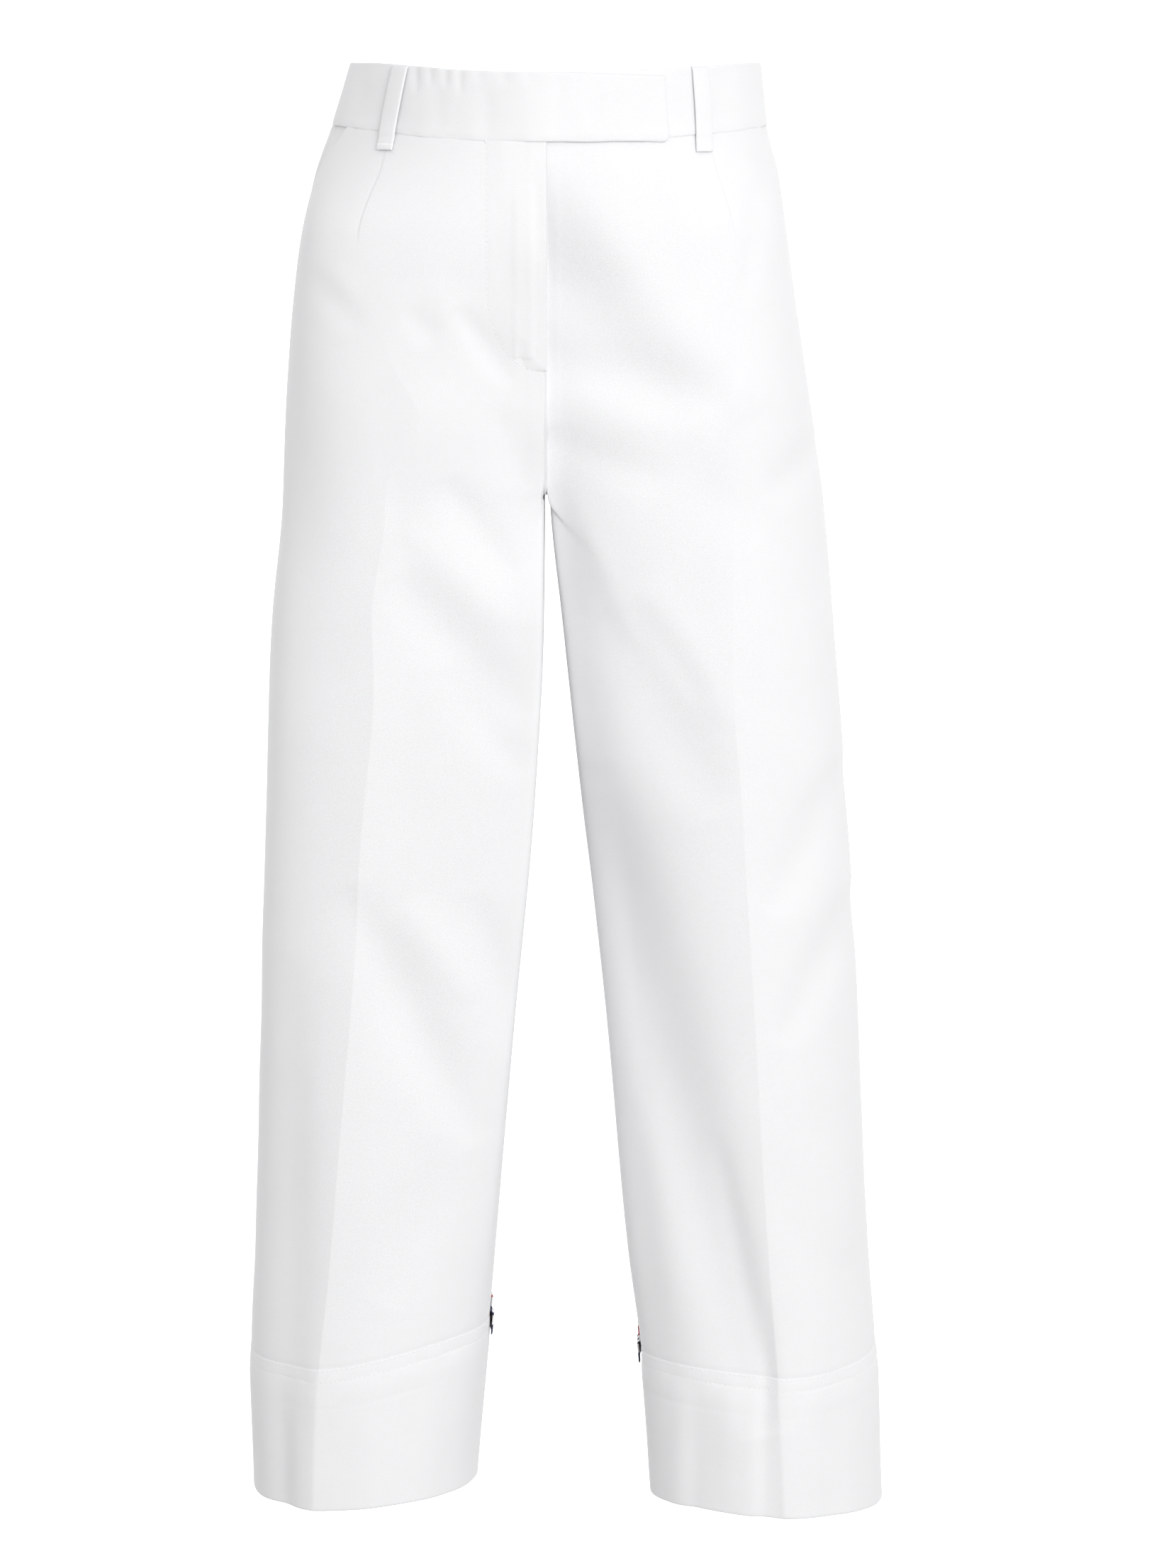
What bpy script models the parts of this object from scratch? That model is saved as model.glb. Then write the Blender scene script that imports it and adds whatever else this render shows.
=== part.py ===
"""Capri pants: white cotton-twill cropped trousers, hollow, in the form they keep while worn.

Metres, +Z up. The origin is the centre of the waistband ring, half way up the band. The front faces -Y, and
the wearer's right leg is at -X. Every cut piece is its own solid: a wall between an outer and an inner grid
of points, both read from one surface, which the tables of sections and folds describe.
"""

import math
from collections import namedtuple

import bpy
import numpy as np

COLLECTION = "capri_pants"

# Thicknesses and gaps
CLOTH = 0.0014  # one layer of twill with its seam allowances
BAND_CLOTH = 0.0022  # two layers and a stiffener
CUFF_CLOTH = 0.0026  # two layers of twill
SEAM_GAP = 0.0003
SIDE_SEAM_EDGE = 0.7 * SEAM_GAP  # from a side seam to the edge of each panel beside it
BAND_PROUD = 0.0006  # how far the band stands out from the panels below it
CUFF_PROUD = 0.0015

# Heights
BAND_TOP = 0.0200  # at the sides
BAND_TOP_DIP = 0.0064  # lower by this at the centre front and the centre back
WAIST_SEAM = -0.0194  # at the sides
WAIST_SEAM_DIP = 0.0097
RISE_BEND = -0.165  # where the centre seams start to curve under the body
FORK = -0.258  # where the four panels meet between the legs
CUFF_HEIGHT = 0.094

# Rules of the cross-sections
BODY_SQUARE = 2.3  # exponent of the rounded body section: 2 is an ellipse
CROTCH_SQUARE = 2.6  # exponent of the crotch curve
ROUNDED = 0.28  # share of a panel, from the centre seam, over which the legs part less and less abruptly
HIP_REACH = 0.085  # how much sooner than at the centre seam the outer part of a panel turns into a leg
THIGH_REACH = 0.160  # and how much lower it ends
INNER_FACET = {"right": 0.0, "left": 0.55}  # how flat a leg's front is pressed between crease and inseam
FACET_TOP = -0.27  # height below which that begins
FACET_REACH = 0.30  # and the height over which it grows
FACET_ROUNDED = 0.15  # share of the front's depth, beside the inseam, over which it fades
CREASE_REACH = 0.020  # how fast a pressed crease dies away to its sides
PANEL_WIDTH = 0.22  # mean width of a leg panel
FADE = 0.07  # share of a panel beside each of its long seams where the folds die away

# Sections, from the top down. outer and inner are the distances of the leg's sides from the middle plane,
# front and back the Y of its faces, mid the Y of its side seam, turn the leg's outward turn in degrees,
# crease the place of the pressed crease between outseam and inseam, and ridge that crease's height.
Section = namedtuple("Section", "z outer inner front back mid turn crease ridge")
SECTIONS = {
    "right": (
        Section(0.020, 0.1224, 0.0000, -0.0985, 0.1010, 0.002, 0, 0.470, 0.0000),
        Section(-0.020, 0.1352, 0.0000, -0.1020, 0.1080, 0.003, 0, 0.495, 0.0000),
        Section(-0.052, 0.1466, 0.0000, -0.1070, 0.1180, 0.005, 0, 0.517, 0.0000),
        Section(-0.106, 0.1574, 0.0000, -0.1125, 0.1310, 0.008, 0, 0.507, 0.0002),
        Section(-0.178, 0.1640, 0.0000, -0.1130, 0.1370, 0.010, 0, 0.515, 0.0010),
        Section(-0.258, 0.1680, 0.0000, -0.1060, 0.1250, 0.012, 0, 0.500, 0.0022),
        Section(-0.334, 0.1757, 0.0007, -0.0990, 0.1120, 0.010, 4, 0.482, 0.0030),
        Section(-0.445, 0.1816, 0.0064, -0.0940, 0.1030, 0.006, 10, 0.483, 0.0034),
        Section(-0.594, 0.1866, 0.0201, -0.0900, 0.0960, 0.003, 15, 0.503, 0.0036),
        Section(-0.746, 0.1930, 0.0330, -0.0860, 0.0920, 0.004, 16, 0.503, 0.0036),
        Section(-0.823, 0.1966, 0.0386, -0.0845, 0.0905, 0.005, 16, 0.504, 0.0034),
        Section(-0.915, 0.1946, 0.0460, -0.0820, 0.0880, 0.006, 16, 0.505, 0.0030),
    ),
    "left": (
        Section(0.020, 0.1362, 0.0000, -0.0985, 0.1010, 0.002, 0, 0.520, 0.0000),
        Section(-0.020, 0.1409, 0.0000, -0.1020, 0.1080, 0.003, 0, 0.530, 0.0000),
        Section(-0.052, 0.1490, 0.0000, -0.1070, 0.1180, 0.005, 0, 0.532, 0.0000),
        Section(-0.106, 0.1566, 0.0000, -0.1125, 0.1310, 0.008, 0, 0.505, 0.0002),
        Section(-0.178, 0.1670, 0.0000, -0.1130, 0.1370, 0.010, 0, 0.500, 0.0010),
        Section(-0.258, 0.1785, 0.0000, -0.1060, 0.1250, 0.012, 0, 0.485, 0.0022),
        Section(-0.334, 0.1859, 0.0100, -0.0980, 0.1130, 0.011, 5, 0.483, 0.0028),
        Section(-0.445, 0.1941, 0.0230, -0.0910, 0.1060, 0.009, 10, 0.497, 0.0030),
        Section(-0.594, 0.2037, 0.0401, -0.0820, 0.1020, 0.009, 9, 0.501, 0.0032),
        Section(-0.746, 0.2119, 0.0538, -0.0730, 0.1000, 0.011, 8, 0.496, 0.0032),
        Section(-0.823, 0.2184, 0.0620, -0.0690, 0.0990, 0.012, 8, 0.501, 0.0030),
        Section(-0.925, 0.2226, 0.0690, -0.0650, 0.0980, 0.013, 8, 0.501, 0.0028),
    ),
}

# The hem's mean height, how far its outer side hangs below that, and how far its front lies above it
Hem = namedtuple("Hem", "z outer_drop front_lift")
HEMS = {"right": Hem(-0.9040, 0.0055, 0.0004), "left": Hem(-0.9185, 0.0030, 0.0035)}

# The largest folds: each a soft trough, or a ridge where its depth is negative, between two points of a panel
# that are given by distance from the middle plane and by height
Fold = namedtuple("Fold", "x1 z1 x2 z2 half_width depth")
FOLDS = {
    ("right", "front"): (
        Fold(0.072, -0.318, 0.026, -0.372, 0.020, 0.0040),
        Fold(0.105, -0.520, 0.060, -0.625, 0.020, 0.0040),
        Fold(0.062, -0.215, 0.092, -0.150, 0.016, 0.0022),
        Fold(0.030, -0.530, 0.014, -0.560, 0.018, -0.0025),
        Fold(0.162, -0.560, 0.169, -0.960, 0.017, 0.0045),
    ),
    ("left", "front"): (
        Fold(0.030, -0.075, 0.110, -0.175, 0.022, -0.0025),
        Fold(0.020, -0.130, 0.070, -0.195, 0.026, 0.0030),
        Fold(0.050, -0.330, 0.100, -0.430, 0.022, 0.0040),
        Fold(0.056, -0.620, 0.132, -0.790, 0.020, 0.0034),
        Fold(0.172, -0.440, 0.150, -0.500, 0.018, 0.0030),
        Fold(0.196, -0.760, 0.202, -0.960, 0.018, 0.0025),
    ),
    ("right", "back"): (
        Fold(0.020, -0.235, 0.110, -0.200, 0.016, 0.0040),
        Fold(0.030, -0.280, 0.120, -0.255, 0.018, 0.0045),
        Fold(0.040, -0.520, 0.110, -0.580, 0.020, 0.0045),
        Fold(0.130, -0.470, 0.080, -0.540, 0.020, -0.0030),
    ),
    ("left", "back"): (
        Fold(0.020, -0.230, 0.105, -0.205, 0.016, 0.0040),
        Fold(0.034, -0.275, 0.125, -0.250, 0.018, 0.0045),
        Fold(0.060, -0.560, 0.140, -0.500, 0.022, 0.0045),
        Fold(0.070, -0.640, 0.130, -0.600, 0.020, -0.0030),
    ),
}

# The tab at the front end of the waistband's right half, which laps over the left half
TAB_REACH = 0.0745  # distance of its end from the middle plane
TAB_TOP_DROP = 0.0020  # how far below the band's top its own top ends
TAB_RAMP = 0.20  # share of the right front over which it climbs
LEFT_BAND_START = 0.010  # share of the left front where the covered end of the left half lies

# Fly and slant pockets
FLY_WIDTH = 0.0365
FLY_TIP = 0.004  # its width at the bottom
FLY_LEVELLING = 0.3  # share of it, from the top, where its rows still follow the waist seam
FLY_LAP = 0.0020  # how far its edge passes the middle
FLY_CLOTH = 0.0010
FLY_BEND = -0.118  # where its outer side starts to curve to the middle
FLY_BOTTOM = -0.168
POCKET_SLANT = 0.031  # how far forward of the side seam the opening starts
POCKET_LENGTH = 0.165
FACING_CLOTH = 0.0010
FACING_GAP = 0.0007
FACING_MARGIN = 0.012  # how far the facing reaches under the panels round it

# Belt loops: the distance of their middle from the middle plane, at the top and at the bottom
Loop = namedtuple("Loop", "name side face top bottom")
LOOPS = (
    Loop("belt_loop_front_right", "right", "front", 0.0910, 0.0975),
    Loop("belt_loop_front_left", "left", "front", 0.0955, 0.0987),
    Loop("belt_loop_back_right", "right", "back", 0.0820, 0.0840),
    Loop("belt_loop_back_left", "left", "back", 0.0820, 0.0840),
    Loop("belt_loop_back_centre", "right", "back", 0.0000, 0.0000),
)
LOOP_WIDTH = 0.010
LOOP_CLOTH = 0.0016
LOOP_STAND_OFF = 0.0022
LOOP_BOW = 0.6  # exponent of its bow between its two held ends: below 1, it leaves them steeply
LOOP_BELOW_BAND = 0.0110
LOOP_STEP = 0.004  # height over which a loop comes down from the band to the panel

# Woven tape along the back half of each cuff seam
TAPE_HEIGHT = 0.025
TAPE_CLOTH = 0.0010
TAPE_STEP_TOP = 0.0030  # heights over the cuff seam between which it climbs onto the cuff
TAPE_STEP_BOTTOM = 0.0006

# Steps of the grids
CREASE_COLUMNS = 7  # on each side of a panel's crease
STRAIGHT_ROWS = 5
BEND_ROWS = 7
LEG_ROWS = 15
LEG_CLOSING = 1.3  # exponent that brings these rows closer together towards the fork
BAND_COLUMNS = 14  # for each quarter of the waist
BAND_ROWS = 3
TAB_COLUMNS = 6
CUFF_ROWS = 4
FACING_COLUMNS = 5
FACING_ROWS = 8
FLY_COLUMNS = 4
FLY_ROWS = 10
LOOP_COLUMNS = 2
LOOP_ROWS = 8

SLOPE_STEP = 0.0005  # for the slopes of the surface, in metres of height and in shares of a panel
SHARP = math.radians(50)
TWILL = (0.90, 0.90, 0.89)
TAPE = (0.55, 0.30, 0.32)
SIGN = {"right": -1.0, "left": 1.0}
FORWARD = {"front": 1.0, "back": -1.0}
OTHER_FACE = {"front": "back", "back": "front"}


def ease(t):
    """0 to 1, level at both ends."""
    t = np.clip(t, 0, 1)
    return t * t * (3 - 2 * t)


def read(side, column, z):
    """One column of a side's sections at height z, on a smooth curve that doesn't overshoot its rows."""
    rows = SECTIONS[side][::-1]
    heights = np.array([row.z for row in rows])
    values = np.array([getattr(row, column) for row in rows], float)
    steps = np.diff(values) / np.diff(heights)
    product = steps[1:] * steps[:-1]
    total = np.where(product > 0, steps[1:] + steps[:-1], 1)
    slopes = np.concatenate([steps[:1], np.where(product > 0, 2 * product / total, 0), steps[-1:]])
    z = np.clip(z, heights[0], heights[-1])
    i = np.clip(np.searchsorted(heights, z) - 1, 0, len(heights) - 2)
    width = heights[i + 1] - heights[i]
    t = (z - heights[i]) / width
    rest = 1 - t
    low = (1 + 2 * t) * values[i] + t * slopes[i] * width
    high = (3 - 2 * t) * values[i + 1] - rest * slopes[i + 1] * width
    return rest**2 * low + t**2 * high


def legs_share(u, z):
    """0 where a section is the body's, 1 where it is a leg's. At the centre seam it follows a quarter of a
    rounded square, which draws the crotch curve. Away from that seam it begins sooner and ends more gently.
    """
    away = ease((1 - u) / ROUNDED)
    top = RISE_BEND + HIP_REACH * away
    bottom = FORK - THIGH_REACH * away
    down = np.clip((top - z) / (top - bottom), 0, 1)
    square = CROTCH_SQUARE + (2 - CROTCH_SQUARE) * away
    return 1 - (1 - down**square) ** ((1 - away) / CROTCH_SQUARE + 2 * away)


def waist_seam(u):
    return WAIST_SEAM - WAIST_SEAM_DIP * np.sin(u * math.pi / 2) ** 2


def band_top(u):
    return BAND_TOP - BAND_TOP_DIP * np.sin(u * math.pi / 2) ** 3


def hem(side, face, u):
    """Height of the hem, which tilts from its outer side to its inner and from its front to its back."""
    level = HEMS[side]
    angle = u * math.pi - FORWARD[face] * math.radians(SECTIONS[side][-1].turn)
    return level.z - level.outer_drop * np.cos(angle) + FORWARD[face] * level.front_lift * np.sin(angle)


def cuff_seam(side, face, u):
    return hem(side, face, u) + CUFF_HEIGHT


def pressed_in(side, z, aside, forward):
    """How far a leg's ellipse is drawn in towards the chord between its front crease and its inseam: aside and
    forward are a place on the unit circle, outwards and to the front."""
    angle = read(side, "crease", z) * math.pi - np.radians(read(side, "turn", z))
    crease_x, crease_y = np.cos(angle), np.sin(angle)
    chord = crease_y / np.maximum((1 + crease_x) * forward - crease_y * aside, crease_y)
    flat = INNER_FACET[side] * ease((FACET_TOP - z) / FACET_REACH) * ease(forward / FACET_ROUNDED)
    return np.where((forward > 0) & (aside < crease_x), 1 - flat * (1 - chord), 1)


def plain(side, face, u, z):
    """Distance from the middle plane, and Y, of the form without folds: u is 0 at the outseam, 1 at the
    centre seam or the inseam."""
    outer, inner, mid = (read(side, column, z) for column in ("outer", "inner", "mid"))
    depth = read(side, face, z) - mid
    other_depth = read(side, OTHER_FACE[face], z) - mid
    across, along = np.cos(u * math.pi / 2), np.sin(u * math.pi / 2)
    swell = (np.abs(across) ** BODY_SQUARE + np.abs(along) ** BODY_SQUARE) ** (-1 / BODY_SQUARE)
    turned = u * math.pi - FORWARD[face] * np.radians(read(side, "turn", z))
    ahead = np.sin(turned)
    aside = np.cos(turned)
    pressed = pressed_in(side, z, aside, ahead * FORWARD[face])
    leg_x = (outer + inner) / 2 + (outer - inner) / 2 * aside * pressed
    leg_y = np.where(ahead >= 0, ahead * depth, -ahead * other_depth) * pressed
    share = legs_share(u, z)
    x = (1 - share) * outer * across * swell + share * leg_x
    y = mid + (1 - share) * depth * along * swell + share * leg_y
    return x, y


def relief(side, face, u, z, x):
    """How far the pressed crease and the folds move the cloth outwards."""
    aside = np.abs(u - read(side, "crease", z)) * PANEL_WIDTH
    crease = read(side, "ridge", z) * np.exp(-aside / CREASE_REACH)
    folds = 0
    for fold in FOLDS[side, face]:
        run_x, run_z = fold.x2 - fold.x1, fold.z2 - fold.z1
        length = math.hypot(run_x, run_z)
        along = ((x - fold.x1) * run_x + (z - fold.z1) * run_z) / length
        off = ((x - fold.x1) * run_z - (z - fold.z1) * run_x) / length
        past = np.maximum(0, np.maximum(-along, along - length))
        folds -= fold.depth * np.exp(-(off**2 + past**2) / fold.half_width**2)
    beside_seams = ease(u / FADE) * ease((1 - u) / FADE)
    return crease + folds * beside_seams


def formed(side, face, u, z):
    """Points of the cloth's outer face, creases and folds included."""
    x, y = plain(side, face, u, z)
    next_x, next_y = plain(side, face, u + SLOPE_STEP, z)
    last_x, last_y = plain(side, face, u - SLOPE_STEP, z)
    run_x, run_y = next_x - last_x, next_y - last_y
    moved = relief(side, face, u, z, x) * FORWARD[face] / np.hypot(run_x, run_y)
    return np.stack([SIGN[side] * (x - run_y * moved + SEAM_GAP / 2), y + run_x * moved, z], axis=-1)


def cloth(side, face, u, z, out=0.0):
    """Points of the cloth's outer face, moved out along its normal."""
    u, z, out = np.broadcast_arrays(np.asarray(u, float), z, out)
    across = formed(side, face, u + SLOPE_STEP, z) - formed(side, face, u - SLOPE_STEP, z)
    down = formed(side, face, u, z - SLOPE_STEP) - formed(side, face, u, z + SLOPE_STEP)
    normal = np.cross(across, down) * SIGN[side] * FORWARD[face]
    normal /= np.linalg.norm(normal, axis=-1, keepdims=True)
    return formed(side, face, u, z) + normal * out[..., None]


def around(side, t, z, out):
    """Cloth on both faces of one side: t is -1 at the back's inner edge, 0 at the outseam, 1 at the front's
    inner edge."""
    on_front = (np.asarray(t) >= 0)[..., None]
    return np.where(on_front, cloth(side, "front", t, z, out), cloth(side, "back", -t, z, out))


def around_waist(t, z, out):
    """Cloth all round the body: t runs from -2 at the centre back, over 0 at the centre front, to 2."""
    on_left = (np.asarray(t) >= 0)[..., None]
    return np.where(on_left, around("left", 1 - t, z, out), around("right", 1 + t, z, out))


def u_at(side, face, x, z):
    """The place on a body section that lies at a distance x from the middle plane."""
    u = np.linspace(0, 1.1, 221)
    distances, _ = plain(side, face, u, np.full_like(u, z))
    return np.interp(-x, -distances, u)


def finish(name, color):
    """A matt cloth."""
    material = bpy.data.materials.new(name)
    material.use_nodes = True
    shader = material.node_tree.nodes["Principled BSDF"]
    shader.inputs["Base Color"].default_value = (*color, 1)
    shader.inputs["Roughness"].default_value = 0.85
    shader.inputs["Metallic"].default_value = 0.0
    return material


def quads(near, far):
    """Faces between two rows of point numbers."""
    return np.stack([near[:-1], far[:-1], far[1:], near[1:]], axis=-1).tolist()


def wall(name, outer, inner, color=TWILL, ring=False):
    """One solid between an outer and an inner grid of points. A ring's columns close on themselves."""
    rows, count = outer.shape[:2]
    points = np.concatenate([outer.reshape(-1, 3), inner.reshape(-1, 3)])
    index = np.arange(2 * rows * count).reshape(2, rows, count)
    if ring:
        index = np.concatenate([index, index[:, :, :1]], axis=2)
    outside, inside = index
    faces = []
    for i in range(rows - 1):
        faces += quads(outside[i], outside[i + 1])
        faces += [(a, d, c, b) for a, b, c, d in quads(inside[i], inside[i + 1])]
    faces += quads(inside[0], outside[0]) + quads(outside[-1], inside[-1])
    if not ring:
        faces += quads(outside[:, 0], inside[:, 0]) + quads(inside[:, -1], outside[:, -1])
    corners = points[np.array(faces)]
    halves = np.concatenate([corners[:, [0, 1, 2]], corners[:, [0, 2, 3]]])
    if np.linalg.det(halves).sum() < 0:
        faces = [(a, d, c, b) for a, b, c, d in faces]
    mesh = bpy.data.meshes.new(name)
    mesh.from_pydata(points.tolist(), [], faces)
    mesh.shade_smooth()
    mesh.set_sharp_from_angle(angle=SHARP)
    mesh.materials.append(finish(name, color))
    bpy.data.collections[COLLECTION].objects.link(bpy.data.objects.new(name, mesh))


def crease_columns(side, z, start=0.0, end=1.0):
    """Places across a panel at each of a column of heights, evenly spaced on each side of its crease."""
    crease = read(side, "crease", z)
    share = np.linspace(0, 1, CREASE_COLUMNS + 1)
    before = start + (crease - start) * share
    after = crease + (end - crease) * share[1:]
    return np.concatenate([before, after], axis=1)


def panel_levels(side):
    """A column of heights: even to the bend of the rise, closing up towards the fork, then even again."""
    straight = np.linspace(WAIST_SEAM, RISE_BEND, STRAIGHT_ROWS + 1)[:-1]
    bend = RISE_BEND + (FORK - RISE_BEND) * np.sin(np.linspace(0, math.pi / 2, BEND_ROWS + 1))
    leg = FORK + (HEMS[side].z + CUFF_HEIGHT - FORK) * np.linspace(0, 1, LEG_ROWS + 1)[1:] ** LEG_CLOSING
    return np.concatenate([straight, bend, leg])[:, None]


def panel_heights(side, face, u, level):
    """The rows' heights, which follow the waist seam at the top and the cuff seam at the bottom."""
    above = np.clip((level - FORK) / (WAIST_SEAM - FORK), 0, 1)
    below = np.clip((FORK - level) / (FORK - level[-1]), 0, 1)
    top_shift = waist_seam(u) - SEAM_GAP / 2 - level[0]
    bottom_shift = cuff_seam(side, face, u) + SEAM_GAP / 2 - level[-1]
    return level + above * top_shift + below * bottom_shift


def pocket_edge(side, z):
    """Where the slant pocket's edge crosses the front: it meets the side seam below the pocket."""
    depth = np.abs(read(side, "front", z) - read(side, "mid", z))
    width = POCKET_SLANT * np.clip(1 - (WAIST_SEAM - z) / POCKET_LENGTH, 0, 1)
    return width / (depth * math.pi / 2)


def panel(side, face):
    """A front or a back of one leg, from the waist seam to the cuff seam."""
    level = panel_levels(side)
    edge = SIDE_SEAM_EDGE / PANEL_WIDTH
    start = np.full_like(level, edge)
    if face == "front":
        start = np.maximum(start, pocket_edge(side, level))
    u = crease_columns(side, level, start, 1 - edge * legs_share(1.0, level))
    z = panel_heights(side, face, u, level)
    wall(f"{face}_{side}", cloth(side, face, u, z), cloth(side, face, u, z, -CLOTH))


def pocket_facing(side):
    """The layer behind a slant pocket's opening. It reaches a little way under the panels round it."""
    level = np.linspace(WAIST_SEAM, WAIST_SEAM - POCKET_LENGTH, FACING_ROWS + 1)[:, None]
    margin = FACING_MARGIN / PANEL_WIDTH
    start, end = -margin, pocket_edge(side, level) + margin
    t = start + (end - start) * np.linspace(0, 1, FACING_COLUMNS + 1)
    top = waist_seam(np.abs(t)) - SEAM_GAP / 2 - WAIST_SEAM
    z = level + top * (level - level[-1]) / (level[0] - level[-1])
    out = -CLOTH - FACING_GAP
    wall(f"pocket_facing_{side}", around(side, t, z, out), around(side, t, z, out - FACING_CLOTH))


def fly():
    """The lap of the right front, sewn down along a J. Its edge passes the middle."""
    down = np.linspace(0, 1, FLY_ROWS + 1)[:, None]
    top = waist_seam(1.0) - SEAM_GAP
    level = top + (FLY_BOTTOM - top) * np.sin(down * math.pi / 2)
    curve = np.clip((FLY_BEND - level) / (FLY_BEND - FLY_BOTTOM), 0, 1)
    width = FLY_TIP + (FLY_WIDTH - FLY_TIP) * np.sqrt(1 - curve**2)
    start = np.array([u_at("right", "front", x, z) for x, z in zip(width.flat, level.flat)])[:, None]
    end = np.array([u_at("right", "front", -FLY_LAP, z) for z in level.flat])[:, None]
    u = start + (end - start) * np.linspace(0, 1, FLY_COLUMNS + 1)
    near_band = ease(1 - down / FLY_LEVELLING)
    z = level + (waist_seam(np.minimum(u, 1)) - waist_seam(1.0)) * near_band
    outer = cloth("right", "front", u, z, SEAM_GAP + FLY_CLOTH)
    wall("fly_placket", outer, cloth("right", "front", u, z, SEAM_GAP))


def tab_end():
    """The place round the waist where the tab ends."""
    return 1 - u_at("left", "front", TAB_REACH, 0.0)


def band_half(name, t, bottom, top, out):
    """A stretch of the waistband along the places t round the waist."""
    z = bottom + (top - bottom) * np.linspace(0, 1, BAND_ROWS + 1)[:, None]
    t = np.broadcast_to(t, z.shape)
    wall(name, around_waist(t, z, out), around_waist(t, z, out - BAND_CLOTH))


def waistband_right():
    """The right half of the band, with the tab that runs on over the left half."""
    quarter = np.linspace(0, 1, BAND_COLUMNS + 1)
    back_end = SEAM_GAP / PANEL_WIDTH
    back = -2 + back_end + quarter[:-1] * (1 - back_end)
    front = quarter[:-1] - 1
    tab = tab_end() * np.linspace(0, 1, TAB_COLUMNS + 1)
    t = np.concatenate([back, front, tab])
    u = np.concatenate([-1 - back, 1 + front, np.ones_like(tab)])
    drop = TAB_TOP_DROP * ease(t / tab_end())
    lift = (BAND_CLOTH + SEAM_GAP) * ease(1 + t / TAB_RAMP)
    band_half("waistband_right", t, waist_seam(u) + SEAM_GAP / 2, band_top(u) - drop, BAND_PROUD + lift)


def waistband_left():
    """The left half of the band, from under the tab to the centre back."""
    quarter = np.linspace(0, 1, BAND_COLUMNS + 1)
    front = LEFT_BAND_START + quarter[:-1] * (1 - LEFT_BAND_START)
    back = 1 + quarter * (1 - SEAM_GAP / PANEL_WIDTH)
    u = np.concatenate([1 - front, back - 1])
    bottom, top = waist_seam(u) + SEAM_GAP / 2, band_top(u)
    band_half("waistband_left", np.concatenate([front, back]), bottom, top, BAND_PROUD)


def belt_loop(loop):
    """A strip from the band's top edge to below the band, held at both ends and clear of the band between."""
    down = np.linspace(0, 1, LOOP_ROWS + 1)
    middle = u_at(loop.side, loop.face, loop.top, 0.0)
    top, seam = band_top(middle), waist_seam(middle)
    heights = top + (seam - LOOP_BELOW_BAND - top) * down
    middles = loop.top + (loop.bottom - loop.top) * down
    across = LOOP_WIDTH * np.linspace(-0.5, 0.5, LOOP_COLUMNS + 1)
    u = np.array([[u_at(loop.side, loop.face, x + dx, z) for dx in across] for x, z in zip(middles, heights)])
    seat = SEAM_GAP + BAND_PROUD * ease((heights - seam + LOOP_STEP) / LOOP_STEP)
    out = (seat + LOOP_STAND_OFF * np.sin(down * math.pi) ** LOOP_BOW)[:, None]
    z = np.broadcast_to(heights[:, None], u.shape)
    outer = cloth(loop.side, loop.face, u, z, out + LOOP_CLOTH)
    wall(loop.name, outer, cloth(loop.side, loop.face, u, z, out))


def leg_ring(side, z):
    """Places all round a leg, with both creases among them, from the inseam over the back to the front."""
    u = crease_columns(side, z)
    return np.concatenate([-u[:, :0:-1], u[:, :-1]], axis=1)


def cuff(side):
    """The deep cuff at the end of a leg, a tube that stands a little proud of the leg."""
    level = np.linspace(0, CUFF_HEIGHT, CUFF_ROWS + 1)[:, None]
    t = leg_ring(side, HEMS[side].z + level)
    above_hem = level * (1 - SEAM_GAP / 2 / CUFF_HEIGHT)
    z = np.where(t < 0, hem(side, "back", -t), hem(side, "front", t)) + above_hem
    outer = around(side, t, z, CUFF_PROUD)
    wall(f"cuff_{side}", outer, around(side, t, z, CUFF_PROUD - CUFF_CLOTH), ring=True)


def hem_tape(side):
    """A woven tape along the back of the cuff seam, half on the leg and half on the cuff."""
    level = np.array([TAPE_HEIGHT / 2, TAPE_STEP_TOP, TAPE_STEP_BOTTOM, -TAPE_HEIGHT / 2])[:, None]
    edge = SEAM_GAP / PANEL_WIDTH
    u = crease_columns(side, HEMS[side].z + CUFF_HEIGHT + level, edge, 1 - edge)
    z = cuff_seam(side, "back", u) + level
    out = SEAM_GAP + CUFF_PROUD * (level < TAPE_STEP_TOP)
    outer = cloth(side, "back", u, z, out + TAPE_CLOTH)
    wall(f"hem_tape_{side}", outer, cloth(side, "back", u, z, out), TAPE)


def clear_scene():
    for old in list(bpy.data.objects):
        bpy.data.objects.remove(old)
    bpy.context.scene.collection.children.link(bpy.data.collections.new(COLLECTION))


clear_scene()
for side in SIGN:
    for face in FORWARD:
        panel(side, face)
    pocket_facing(side)
    cuff(side)
    hem_tape(side)
fly()
waistband_right()
waistband_left()
for loop in LOOPS:
    belt_loop(loop)
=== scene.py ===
"""White cotton-twill capri pants, dressed: fine cloth with its folds, seams, stitches and finishes.

The sections follow the garment as it is put together. Metres, +Z up, the front faces -Y, and the wearer's
right leg is at -X. All cloth is laid on one surface: u runs from 0 at the outseam to 1 at the inseam or the
centre seam, z is the height, and out is how far a point stands off the leg panels' outer face.
"""

import math
from collections import namedtuple

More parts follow.
